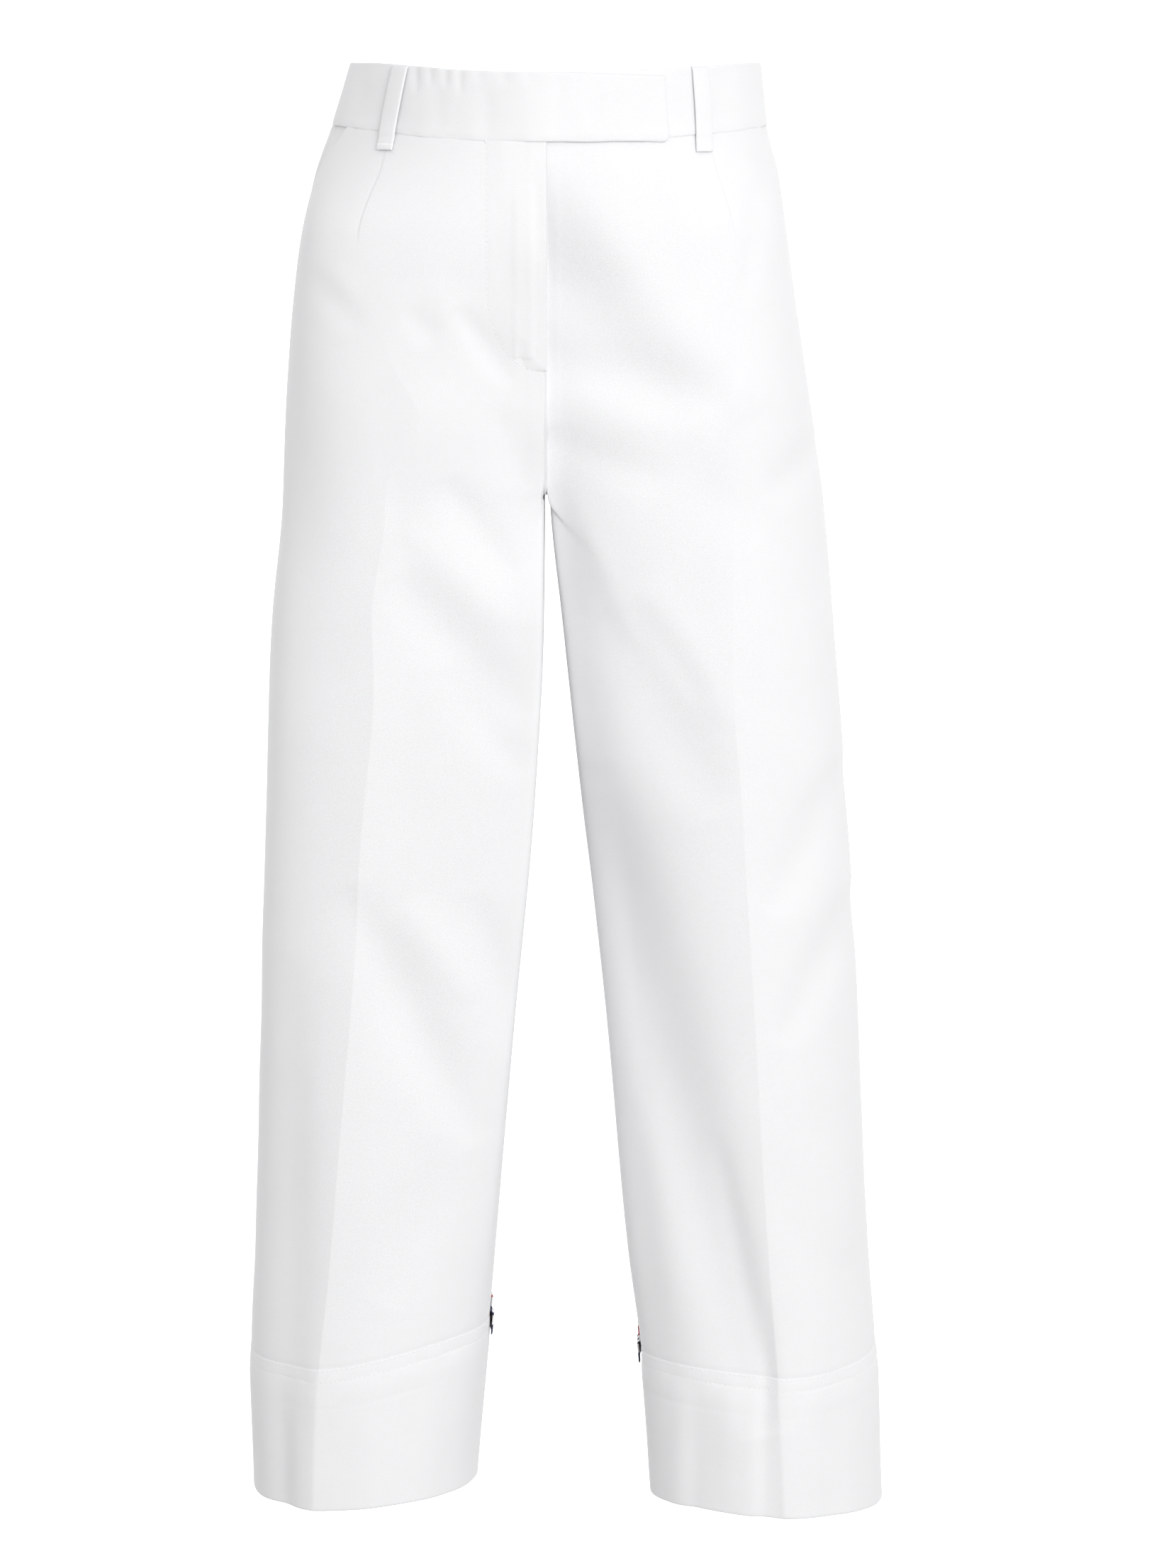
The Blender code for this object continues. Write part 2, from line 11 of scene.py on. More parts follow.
import bpy
import numpy as np
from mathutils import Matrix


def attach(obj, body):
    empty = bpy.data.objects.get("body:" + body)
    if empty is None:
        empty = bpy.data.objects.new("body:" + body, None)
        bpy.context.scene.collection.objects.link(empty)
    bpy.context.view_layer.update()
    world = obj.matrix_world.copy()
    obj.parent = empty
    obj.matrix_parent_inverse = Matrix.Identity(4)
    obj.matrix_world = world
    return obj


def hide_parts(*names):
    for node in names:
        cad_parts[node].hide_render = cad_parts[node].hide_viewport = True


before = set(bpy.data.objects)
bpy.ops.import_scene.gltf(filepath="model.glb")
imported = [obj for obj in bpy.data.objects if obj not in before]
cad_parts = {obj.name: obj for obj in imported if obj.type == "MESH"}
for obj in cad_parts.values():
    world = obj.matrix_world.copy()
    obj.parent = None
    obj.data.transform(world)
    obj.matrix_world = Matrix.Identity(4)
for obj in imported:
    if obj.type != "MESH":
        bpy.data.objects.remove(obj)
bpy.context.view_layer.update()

# ---------------------------------------------------------------------------------------------------------
# Twill: bleached cotton with a little stretch, woven in steep diagonal ribs and pressed. The map "cut" holds
# metres of flat cloth, so ribs run unbroken along each piece. The same yarn, closer, makes the woven tape.

RIB_PITCH = 0.00075
RIB_LEAN = math.radians(27)
YARN_PITCH = 0.00055
BANDS_PER_UNIT = 0.3142  # a wave texture's band pitch at scale 1
SLUB_SCALE = 700.0
PRESS_SCALE = 22.0
WHITE = (0.832, 0.834, 0.842)
WEAVE_DEPTH = 0.00006
FINISH = {"Roughness": 0.82, "Specular IOR Level": 0.22, "Sheen Weight": 0.10, "Sheen Roughness": 0.55}


def node_adder(tree):
    """A short way to add a node to a tree, or to take one that it has, with inputs linked or set."""

    def add(node, inputs=(), **settings):
        node = tree.nodes.new(node) if isinstance(node, str) else node
        for key, value in settings.items():
            setattr(node, key, value)
        for socket, value in dict(inputs).items():
            if isinstance(value, bpy.types.NodeSocket):
                tree.links.new(value, node.inputs[socket])
            else:
                node.inputs[socket].default_value = value
        return node

    return add


def new_material(name):
    """A material, its shader, and the short way to add nodes to it."""
    material = bpy.data.materials.new(name)
    material.use_nodes = True
    tree = material.node_tree
    return material, tree.nodes["Principled BSDF"], node_adder(tree)


def woven(name, rib_pitch=RIB_PITCH, lean=RIB_LEAN, dye=lambda add, cut: WHITE):
    """Cotton cloth: diagonal ribs crossed by finer yarns, with slubs and the soft unevenness of pressing."""
    material, shader, add = new_material(name)
    cut = add("ShaderNodeUVMap", uv_map="cut").outputs["UV"]
    leaning = add("ShaderNodeMapping", {"Vector": cut, "Rotation": (0, 0, lean)}).outputs["Vector"]
    ribs = add(
        "ShaderNodeTexWave",
        {"Vector": leaning, "Scale": BANDS_PER_UNIT / rib_pitch, "Distortion": 0.6, "Detail Scale": 3.0},
        bands_direction="X",
    )
    yarns = add(
        "ShaderNodeTexWave",
        {"Vector": cut, "Scale": BANDS_PER_UNIT / YARN_PITCH, "Distortion": 0.8, "Detail Scale": 3.0},
        bands_direction="Y",
    )
    slubs = add("ShaderNodeTexNoise", {"Vector": cut, "Scale": SLUB_SCALE, "Detail": 2.0})
    pressing = add("ShaderNodeTexNoise", {"Vector": cut, "Scale": PRESS_SCALE, "Detail": 3.0})
    crossing = add(
        "ShaderNodeMath",
        {0: yarns.outputs["Fac"], 1: 0.5, 2: slubs.outputs["Fac"]},
        operation="MULTIPLY_ADD",
    )
    woven_height = {0: ribs.outputs["Fac"], 1: crossing.outputs[0]}
    thread = add("ShaderNodeMath", woven_height, operation="ADD").outputs[0]
    bump = add("ShaderNodeBump", {"Height": thread, "Strength": 0.4, "Distance": WEAVE_DEPTH})
    # Painted shade: the colour is darker where the weave's height is low, as shade in the valleys between its
    # ribs
    valley_shade = add("ShaderNodeMapRange", {"Value": thread, "From Min": 0.2, "From Max": 2.2, "To Min": 0.93})
    cloudy = add("ShaderNodeMapRange", {"Value": pressing.outputs["Fac"], "To Min": 0.975, "To Max": 1.015})
    both = add("ShaderNodeMath", {0: valley_shade.outputs[0], 1: cloudy.outputs[0]}, operation="MULTIPLY")
    shown = add("ShaderNodeVectorMath", {0: dye(add, cut), "Scale": both.outputs[0]}, operation="SCALE")
    add(shader, {"Base Color": shown.outputs[0], "Normal": bump.outputs[0], **FINISH})
    return material


TWILL = woven("twill")

# ---------------------------------------------------------------------------------------------------------
# Leg panels: two fronts and two backs, cut with the grain along their pressed creases and sewn at outseam,
# inseam and centre seams, with a dart under the waistband in each. Their form is the garment's as worn:
# rounded at the hips, parting into two legs at the fork, the left leg a little forward and outward.

CLOTH = 0.0014
SEAM_GAP = 0.0003
WAIST_SEAM = -0.0194
WAIST_SEAM_DIP = 0.0097
RISE_BEND = {"front": -0.225, "back": -0.165}  # height at which the crotch curve leaves the centre seam
FORK = -0.250
CUFF_HEIGHT = 0.094
CUFF_LIFT = {"right": (0.003, 0.015), "left": (0.013, 0.004)}  # how far its seam rises: outside, inside
LIFT_ENDS, LIFT_STARTS = 0.50, 0.45  # places where the outer rise ends and the inner one starts
BODY_SQUARE = 2.3  # 2 is an ellipse
CROTCH_SQUARE = {"front": 8.0, "back": 2.6}  # how squarely the crotch curve turns
PARTING = {"front": 0.80, "back": 1.0}  # place from which a panel parts gradually towards its outer side
PARTING_WIDTH = 0.28
PARTED = {"front": 0.775, "back": 1.05}  # inside this place it parts at the fork alone
PARTED_WIDTH = 0.05
SEAM_SIDE = 0.22  # share of that width beside the centre seam that turns squarely
HIP_REACH = {"front": 0.145, "back": 0.085}  # how far above and below the fork a panel's outer side parts
THIGH_REACH = 0.160
CREASE_REACH = 0.020
INNER_FACET = {"right": 0.0, "left": 0.15}  # how flat a leg's front is pressed between crease and inner edge
FACET_END = 0.25  # how far forward of the inseam that facet ends, as a share of the leg's depth
FACET_TOP = -0.26
FACET_REACH = 0.26
INSEAM_SET_BACK = 0.003  # how far the inseam lies outside the leg's inner edge
INSEAM_DEPTH = 0.4  # share of the leg's depth beside the inseam that is set back
VALLEY = 0.014  # depth to which the fronts sink towards the centre seam above the fork
VALLEY_WIDTH = {"right": 0.062, "left": 0.055}
VALLEY_TOP = {"right": (-0.070, 0.120), "left": (-0.040, 0.080)}
VALLEY_BOTTOM = {"right": (-0.330, 0.080), "left": (-0.420, 0.120)}
LEG_TURNING = (60.0, 9.0, -0.45, 0.45)  # how sharply a section turns at its edge: top, hem, from, over
HIP_TURNING = 10.0
HIP_ROUNDNESS = (0.72, -0.012, 0.075)  # 1 is an ellipse, 0 a flat front: at the hips, from, over
WAIST_ROUNDNESS = {"right": 1.12, "left": 0.95}
FORK_ROUNDNESS = 0.15
OUTER_ROUNDNESS = {"right": (0.72, 0.92), "left": (0.86, 0.92)}  # high and low on the leg
OUTER_ROUNDNESS_REACH = 0.60
LEG_ROUNDNESS = {"right": (0.90, -0.30, 0.60), "left": (0.90, -0.21, 0.30)}  # value, from, over
GATHERED = (-0.165, 0.050, 0.03)  # a front is drawn to its centre seam above the fork: from, over, held back
GATHER_POWER = 4
GATHER_WIDTH = 0.6  # share of the inner half over which the drawing-in grows
DRAWN_IN = (0.68, 0.085)  # place from which all of it is drawn in, and over which width
TURNED_IN = 0.80  # place from which folds die away on a leg's inner side
STRAIGHTENED = (0.5, 0.25)  # place from which folds move to the front or back alone, and over which width
PANEL_WIDTH = 0.22
SLOPE_STEP = 0.0005
SIGN = {"right": -1.0, "left": 1.0}
FORWARD = {"front": 1.0, "back": -1.0}
OTHER_FACE = {"front": "back", "back": "front"}

# A section: its height, how far its outer and inner edge are from the middle plane, Y of its front, its back
# and its middle, how many degrees a leg turns outwards, and the place and the height of the pressed crease
Section = namedtuple("Section", "z outer inner front back mid turn crease ridge")
SECTIONS = {
    "right": (
        Section(0.020, 0.1224, 0.0000, -0.0985, 0.1010, 0.002, 0, 0.437, 0.0000),
        Section(-0.020, 0.1352, 0.0000, -0.1020, 0.1080, 0.003, 0, 0.467, 0.0000),
        Section(-0.052, 0.1466, 0.0000, -0.1070, 0.1180, 0.005, 0, 0.529, 0.0002),
        Section(-0.106, 0.1574, 0.0000, -0.1125, 0.1310, 0.008, 0, 0.545, 0.0000),
        Section(-0.178, 0.1640, 0.0000, -0.1130, 0.1370, 0.010, 0, 0.649, 0.0007),
        Section(-0.258, 0.1680, 0.0000, -0.1060, 0.1250, 0.012, 0, 0.543, 0.0018),
        Section(-0.334, 0.1757, 0.0007, -0.0990, 0.1120, 0.010, 4, 0.481, 0.0030),
        Section(-0.445, 0.1802, 0.0064, -0.0940, 0.1030, 0.006, 10, 0.483, 0.0034),
        Section(-0.594, 0.1857, 0.0201, -0.0900, 0.0960, 0.003, 15, 0.503, 0.0036),
        Section(-0.746, 0.1914, 0.0330, -0.0860, 0.0920, 0.004, 19, 0.503, 0.0036),
        Section(-0.823, 0.1950, 0.0386, -0.0845, 0.0905, 0.005, 22, 0.504, 0.0036),
        Section(-0.915, 0.1932, 0.0460, -0.0820, 0.0880, 0.006, 24, 0.505, 0.0034),
    ),
    "left": (
        Section(0.020, 0.1362, 0.0000, -0.0985, 0.1010, 0.002, 0, 0.492, 0.0000),
        Section(-0.020, 0.1409, 0.0000, -0.1020, 0.1080, 0.003, 0, 0.505, 0.0000),
        Section(-0.052, 0.1490, 0.0000, -0.1070, 0.1180, 0.005, 0, 0.526, 0.0001),
        Section(-0.106, 0.1566, 0.0000, -0.1125, 0.1310, 0.008, 0, 0.518, 0.0003),
        Section(-0.178, 0.1670, 0.0000, -0.1130, 0.1370, 0.010, 0, 0.510, 0.0008),
        Section(-0.258, 0.1785, 0.0038, -0.1060, 0.1250, 0.012, 0, 0.490, 0.0018),
        Section(-0.334, 0.1859, 0.0116, -0.0980, 0.1130, 0.011, 5, 0.484, 0.0026),
        Section(-0.445, 0.1941, 0.0230, -0.0910, 0.1060, 0.009, 10, 0.497, 0.0030),
        Section(-0.594, 0.2037, 0.0388, -0.0820, 0.1020, 0.009, 9, 0.501, 0.0032),
        Section(-0.746, 0.2119, 0.0516, -0.0730, 0.1000, 0.011, 8, 0.496, 0.0032),
        Section(-0.823, 0.2184, 0.0606, -0.0690, 0.0990, 0.012, 8, 0.501, 0.0032),
        Section(-0.925, 0.2226, 0.0676, -0.0650, 0.0980, 0.013, 8, 0.501, 0.0030),
    ),
}
Hem = namedtuple("Hem", "z outer_drop front_lift")
HEMS = {"right": Hem(-0.9040, 0.0055, 0.0004), "left": Hem(-0.9185, 0.0030, 0.0035)}

# Folds, each a soft trough, or a ridge where its depth is negative, that tapers to both its ends. The ends
# are given by distance from the middle plane and by height.
FOLD_TAPER = 0.75
FOLD_END_WIDTH = (0.6, 0.4)  # shares of its width that a fold has at its ends, and gains in between
Fold = namedtuple("Fold", "x1 z1 x2 z2 half_width depth")
FOLDS = {
    ("right", "front"): (
        Fold(0.094, -0.298, 0.008, -0.390, 0.018, 0.0036),
        Fold(0.088, -0.266, 0.020, -0.330, 0.012, -0.0014),
        Fold(0.064, -0.236, 0.020, -0.300, 0.012, 0.0032),
        Fold(0.064, -0.355, 0.012, -0.425, 0.015, 0.0022),
        Fold(0.125, -0.495, 0.045, -0.665, 0.019, 0.0048),
        Fold(0.090, -0.505, 0.045, -0.570, 0.014, -0.0018),
        Fold(0.045, -0.500, 0.016, -0.610, 0.014, 0.0026),
        Fold(0.060, -0.660, 0.100, -0.770, 0.018, 0.0018),
        Fold(0.054, -0.130, 0.020, -0.178, 0.009, 0.0024),
        Fold(0.070, -0.112, 0.044, -0.158, 0.009, -0.0006),
        Fold(0.086, -0.130, 0.066, -0.152, 0.009, 0.0013),
        Fold(0.148, -0.108, 0.112, -0.146, 0.010, 0.0012),
        Fold(0.132, -0.104, 0.118, -0.128, 0.008, -0.0006),
        Fold(0.162, -0.540, 0.172, -0.990, 0.017, 0.0045),
        Fold(0.150, -0.800, 0.154, -0.990, 0.009, -0.0012),
        Fold(0.030, -0.190, 0.010, -0.245, 0.012, 0.0014),
    ),
    ("left", "front"): (
        Fold(0.000, -0.040, 0.004, -0.190, 0.024, 0.0018),
        Fold(0.010, -0.045, 0.130, -0.200, 0.022, -0.0030),
        Fold(-0.030, -0.070, 0.090, -0.205, 0.024, 0.0032),
        Fold(-0.030, -0.160, 0.118, -0.188, 0.021, 0.0045),
        Fold(-0.020, -0.168, 0.082, -0.206, 0.012, -0.0012),
        Fold(-0.020, -0.204, 0.080, -0.240, 0.015, 0.0030),
        Fold(0.060, -0.205, 0.135, -0.275, 0.020, 0.0018),
        Fold(-0.006, -0.205, 0.022, -0.440, 0.025, 0.0100),
        Fold(-0.004, -0.140, 0.010, -0.330, 0.020, 0.0052),
        Fold(0.012, -0.235, 0.058, -0.345, 0.008, -0.0012),
        Fold(0.055, -0.312, 0.102, -0.378, 0.010, 0.0014),
        Fold(0.040, -0.320, 0.110, -0.450, 0.023, 0.0040),
        Fold(0.066, -0.300, 0.118, -0.395, 0.014, -0.0014),
        Fold(0.028, -0.420, 0.142, -0.860, 0.025, 0.0112),
        Fold(0.108, -0.660, 0.148, -0.845, 0.009, 0.0022),
        Fold(0.052, -0.640, 0.074, -0.830, 0.011, 0.0026),
        Fold(0.190, -0.420, 0.145, -0.515, 0.014, 0.0036),
        Fold(0.200, -0.505, 0.150, -0.600, 0.014, 0.0034),
        Fold(0.176, -0.218, 0.140, -0.250, 0.012, 0.0024),
        Fold(0.142, -0.022, 0.124, -0.130, 0.0075, 0.0015),
        Fold(0.196, -0.740, 0.204, -0.990, 0.018, 0.0025),
        Fold(0.142, -0.770, 0.152, -0.990, 0.0075, 0.0020),
        Fold(0.108, -0.790, 0.100, -0.990, 0.013, 0.0012),
    ),
    ("right", "back"): (
        Fold(0.006, -0.245, 0.125, -0.190, 0.016, 0.0042),
        Fold(0.020, -0.292, 0.135, -0.245, 0.018, 0.0048),
        Fold(0.030, -0.335, 0.110, -0.305, 0.014, 0.0028),
        Fold(0.036, -0.498, 0.125, -0.600, 0.020, 0.0050),
        Fold(0.150, -0.440, 0.070, -0.555, 0.018, -0.0028),
        Fold(0.050, -0.590, 0.150, -0.665, 0.017, 0.0030),
        Fold(0.030, -0.120, 0.090, -0.160, 0.018, 0.0016),
        Fold(0.160, -0.720, 0.110, -0.840, 0.018, 0.0026),
    ),
    ("left", "back"): (
        Fold(0.006, -0.238, 0.120, -0.196, 0.016, 0.0042),
        Fold(0.018, -0.286, 0.140, -0.240, 0.018, 0.0048),
        Fold(0.034, -0.330, 0.120, -0.300, 0.014, 0.0026),
        Fold(0.050, -0.575, 0.155, -0.488, 0.021, 0.0050),
        Fold(0.064, -0.652, 0.145, -0.590, 0.019, -0.0030),
        Fold(0.080, -0.600, 0.170, -0.560, 0.015, 0.0026),
        Fold(0.040, -0.118, 0.100, -0.150, 0.018, 0.0016),
        Fold(0.090, -0.730, 0.150, -0.850, 0.018, 0.0028),
    ),
}

# Lesser unevenness of the cloth: size across and along, and height
RUMPLES = ((0.070, 0.110, 0.00085), (0.026, 0.045, 0.00022))
PUCKER_PITCH = 0.0085
PUCKER_LENGTH = 0.02
PUCKER_START = 0.003
PUCKER_REACH = 0.009
PUCKER_DEPTH = 0.00020
ALLOWANCE = 0.011  # width of the pressed-open seam allowance that shows as a faint ridge
ALLOWANCE_EDGE = 0.0025
ALLOWANCE_LIFT = 0.00022
DART = {"front": (-0.0350, -0.0945), "back": (0.0, -0.125)}  # from the loop's end or the band, to this height
DART_ENDS = (0.003, 0.015)  # lengths over which it starts and runs out
DART_DEPTH = 0.0006
DART_WIDTH = 0.0007
DART_SPREAD = 10  # widths over which the cloth comes back on its inner side
SEAM_KEPT = 0.7  # share of its thickness that the cloth keeps at its seams
TUCK = 0.0005  # how far a panel's end dives under the band or the cuff that covers it
TUCK_REACH = 0.0020
TUCKED_LENGTH = 0.0012  # how far it reaches under them
FADE_OUT = 0.010  # widths beside the outseam and the inner seam over which the folds die away
FADE_IN = 0.0022
LATTICE = (64, 512)
PANEL_PART = 0.004  # past the waist seam and the cuff seam, where darts and seams no longer show


def ease(t):
    """0 to 1, level at both ends."""
    t = np.clip(t, 0, 1)
    return t * t * (3 - 2 * t)


def hill(distance, width):
    """1 at no distance, falling away smoothly on both sides."""
    return np.exp(-((distance / width) ** 2))


def read(side, column, z):
    """One column of a side's sections at height z, on a smooth curve that doesn't overshoot its rows."""
    rows = SECTIONS[side][::-1]
    heights = np.array([row.z for row in rows])
    values = np.array([getattr(row, column) for row in rows], float)
    steps = np.diff(values) / np.diff(heights)
    product = steps[1:] * steps[:-1]
    total = np.where(product > 0, steps[1:] + steps[:-1], 1)
    slopes = np.concatenate([steps[:1], np.where(product > 0, 2 * product / total, 0), steps[-1:]])
    z = np.clip(z, heights[0], heights[-1])
    i = np.clip(np.searchsorted(heights, z) - 1, 0, len(heights) - 2)
    width = heights[i + 1] - heights[i]
    t = (z - heights[i]) / width
    rest = 1 - t
    low = (1 + 2 * t) * values[i] + t * slopes[i] * width
    high = (3 - 2 * t) * values[i + 1] - rest * slopes[i + 1] * width
    return rest**2 * low + t**2 * high


def legs_share(face, u, z):
    """0 where a section is the body's, 1 where it is a leg's. Its start draws the crotch curve."""
    away = ease((PARTING[face] - u) / PARTING_WIDTH) * ease((PARTED[face] - u) / PARTED_WIDTH)
    top = RISE_BEND[face] + HIP_REACH[face] * away
    bottom = FORK - THIGH_REACH * away
    down = np.clip((top - z) / (top - bottom), 0, 1)
    square = CROTCH_SQUARE[face] + (2 - CROTCH_SQUARE[face]) * away
    soft = ease(away / SEAM_SIDE)
    return 1 - (1 - down**square) ** ((1 - soft) / CROTCH_SQUARE[face] + 2 * soft)


def gathered(face, u, z):
    """Where on the body's section a panel's places lie: a front's are drawn to its centre seam."""
    if face == "back":
        return u
    top, reach, kept = GATHERED
    start, width = DRAWN_IN
    inner = np.clip(2 * u - 1, 0, None)
    close = 1 - (1 - kept) * (1 - inner) ** GATHER_POWER * np.sign(1 - inner) - kept * (1 - inner)
    drawn = inner + (close - inner) * ease(inner / GATHER_WIDTH)
    drawn = drawn + (1 - kept * (1 - inner) - drawn) * ease((u - start) / width)
    return u + (drawn - inner) / 2 * ease((top - z) / reach)


def waist_seam(u):
    """Height of the waist seam."""
    return WAIST_SEAM - WAIST_SEAM_DIP * np.sin(u * math.pi / 2) ** 2


def hem(side, face, u):
    """Height of a leg's lower edge."""
    level = HEMS[side]
    angle = u * math.pi - FORWARD[face] * math.radians(SECTIONS[side][-1].turn)
    return level.z - level.outer_drop * np.cos(angle) + FORWARD[face] * level.front_lift * np.sin(angle)


def seam_lift(side, u):
    """How far the cuff's seam rises towards the outseam and towards the inseam."""
    outside, inside = CUFF_LIFT[side]
    return outside * ease(1 - u / LIFT_ENDS) + inside * ease((u - LIFT_STARTS) / (1 - LIFT_STARTS))


def cuff_seam(side, face, u):
    return hem(side, face, u) + CUFF_HEIGHT + seam_lift(side, u)


def cut_off(curve, curve_at_edge, aside, turning):
    """Swelling of a circle to a wider curve, which is cut off at the circle's width. Both are given by the
    inverse of their distance from the middle."""
    return (curve**turning + np.abs(aside) ** turning * (1 - curve_at_edge**turning)) ** (-1 / turning)


def leg_front(side, z, aside, forward):
    """How a leg's front departs from the ellipse: it is flatter and turns in late, and the left one is
    pressed flat between its crease and its inner edge."""
    final, top, reach = LEG_ROUNDNESS[side]
    roundness = FORK_ROUNDNESS + (final - FORK_ROUNDNESS) * ease((top - z) / reach)
    high, low = OUTER_ROUNDNESS[side]
    roundness = np.where(aside < 0, roundness, high + (low - high) * ease((top - z) / OUTER_ROUNDNESS_REACH))
    wide = np.hypot(roundness * aside, forward)
    angle = read(side, "crease", z) * math.pi - np.radians(read(side, "turn", z))
    crease_x, crease_y = np.cos(angle), np.sin(angle)
    lean = (crease_y - FACET_END) / (crease_x + 1)
    facet = (forward - lean * aside) / (crease_y - lean * crease_x)
    flat = INNER_FACET[side] * ease((FACET_TOP - z) / FACET_REACH)
    curve = wide + np.where(aside < crease_x, flat * (facet - wide), 0)
    at_edge = roundness + np.where(aside < 0, flat * (lean / (crease_y - lean * crease_x) - roundness), 0)
    sharp, blunt, start, over = LEG_TURNING
    turning = np.where(aside < 0, sharp + (blunt - sharp) * ease((start - z) / over), HIP_TURNING)
    return np.where(forward > 0, cut_off(curve, at_edge, aside, turning), 1)


def plain(side, face, u, z):
    """Distance from the middle plane, and Y, of the form without folds: a body section parts into a leg's."""
    outer, inner, mid = (read(side, column, z) for column in ("outer", "inner", "mid"))
    depth = read(side, face, z) - mid
    other_depth = read(side, OTHER_FACE[face], z) - mid
    body = gathered(face, u, z) * math.pi / 2
    across, along = np.cos(body), np.sin(body)
    if face == "front":
        hips, top, reach = HIP_ROUNDNESS
        roundness = WAIST_ROUNDNESS[side] + (hips - WAIST_ROUNDNESS[side]) * ease((top - z) / reach)
        swell = cut_off(np.hypot(roundness * across, along), roundness, across, HIP_TURNING)
    else:
        swell = (np.abs(across) ** BODY_SQUARE + np.abs(along) ** BODY_SQUARE) ** (-1 / BODY_SQUARE)
    turned = u * math.pi - FORWARD[face] * np.radians(read(side, "turn", z))
    ahead = np.sin(turned)
    aside = np.cos(turned)
    shaped = leg_front(side, z, aside, ahead * FORWARD[face])
    leg_x = (outer + inner) / 2 + (outer - inner) / 2 * aside * shaped
    leg_x = leg_x + INSEAM_SET_BACK * ease(1 - np.abs(ahead * shaped) / INSEAM_DEPTH) * (aside < 0)
    leg_y = np.where(ahead >= 0, ahead * depth, -ahead * other_depth) * shaped
    share = legs_share(face, u, z)
    x = (1 - share) * outer * across * swell + share * leg_x
    y = mid + (1 - share) * depth * along * swell + share * leg_y
    return x, y


def uneven(a, b, seed):
    """Smooth unevenness between -1 and 1, one hill or hollow to each whole step of a and b. A number added to
    a or b only shifts it."""
    columns, rows = LATTICE
    lattice = np.random.default_rng(seed).uniform(-1, 1, LATTICE)
    i, j = np.floor(a).astype(int), np.floor(b).astype(int)
    s, t = ease(a - i), ease(b - j)
    i, next_i, j, next_j = i % columns, (i + 1) % columns, j % rows, (j + 1) % rows
    near = lattice[i, j] * (1 - s) + lattice[next_i, j] * s
    far = lattice[i, next_j] * (1 - s) + lattice[next_i, next_j] * s
    return near * (1 - t) + far * t


def folded(folds, x, z):
    """How far a list of folds moves the cloth: inwards in a trough, outwards on a ridge."""
    moved = 0
    at_ends, gained = FOLD_END_WIDTH
    for fold in folds:
        run_x, run_z = fold.x2 - fold.x1, fold.z2 - fold.z1
        length = math.hypot(run_x, run_z)
        along = ((x - fold.x1) * run_x + (z - fold.z1) * run_z) / length**2
        off = ((x - fold.x1) * run_z - (z - fold.z1) * run_x) / length
        taper = np.clip(4 * along * (1 - along), 0, 1) ** FOLD_TAPER
        moved = moved - fold.depth * taper * hill(off, fold.half_width * (at_ends + gained * taper))
    return moved


def sewn_relief(side, face, u, z, from_seam, from_crease, seed):
    """How far a dart, and the puckers and the allowance beside a seam, move the cloth outwards."""
    below_band = ease((waist_seam(u) - z) / PANEL_PART + 1)
    above_cuff = ease((z - cuff_seam(side, face, u)) / PANEL_PART + 1)
    pucker = uneven(from_seam / PUCKER_LENGTH + 7.7, z / PUCKER_PITCH, seed)
    pucker = PUCKER_DEPTH * pucker * ease(from_seam / PUCKER_START) * np.exp(-from_seam / PUCKER_REACH)
    allowance = ALLOWANCE_LIFT * ease((ALLOWANCE - from_seam) / ALLOWANCE_EDGE)
    top, bottom = DART[face]
    starting, ending = DART_ENDS
    widths = from_crease / DART_WIDTH
    dart = ease((z - bottom) / ending) * ease((top - z) / starting)
    dart = dart * ease(widths / 2 + 0.5) * np.exp(-np.clip(widths, 0, None) / DART_SPREAD)
    return below_band * above_cuff * (pucker + allowance - DART_DEPTH * dart)


def relief(side, face, u, z, x, y):
    """How far creases, folds, darts and seams move the cloth outwards."""
    crease_x, _ = plain(side, face, read(side, "crease", z), z)
    inner_x, inner_y = plain(side, face, np.ones_like(z), z)
    from_crease = x - crease_x
    from_inner = np.hypot(x - inner_x, y - inner_y)
    from_outer = np.abs(u) * PANEL_WIDTH
    moved = read(side, "ridge", z) * np.exp(-np.abs(from_crease) / CREASE_REACH)
    moved = moved + folded(FOLDS[side, face], x, z) * ease(from_outer / FADE_OUT) * ease(from_inner / FADE_IN)
    if face == "front":
        top, reach = VALLEY_TOP[side]
        bottom, rise = VALLEY_BOTTOM[side]
        sunk = VALLEY * ease((top - z) / reach) * ease((z - bottom) / rise)
        moved = moved - sunk * hill(x, VALLEY_WIDTH[side])
    seed = 10 * (side == "left") + 20 * (face == "back")
    beside_seams = ease(from_outer / FADE_OUT) * ease(from_inner / FADE_OUT)
    place = x + FORWARD[face] * y
    for across, along, height in RUMPLES:
        seed += 1
        moved = moved + height * uneven(place / across + 9.3, z / along, seed) * beside_seams
    from_seam = np.minimum(from_outer, from_inner)
    return moved + sewn_relief(side, face, u, z, from_seam, from_crease, seed + 5)


def formed(side, face, u, z):
    """Points of the cloth's outer face, creases and folds included. The inner parts move forward or back."""
    x, y = plain(side, face, u, z)
    next_x, next_y = plain(side, face, u + SLOPE_STEP, z)
    last_x, last_y = plain(side, face, u - SLOPE_STEP, z)
    run_x, run_y = next_x - last_x, next_y - last_y
    length = np.hypot(run_x, run_y)
    start, width = STRAIGHTENED
    straight = ease((u - start) / width)
    out_x, out_y = (straight - 1) * run_y / length, (1 - straight) * run_x / length - straight
    turned_in = legs_share(face, np.ones_like(z), z) * ease((u - TURNED_IN) / (1 - TURNED_IN))
    moved = relief(side, face, u, z, x, y) * (1 - turned_in) * FORWARD[face]
    return np.stack([SIGN[side] * (x + out_x * moved), y + out_y * moved, z], axis=-1)


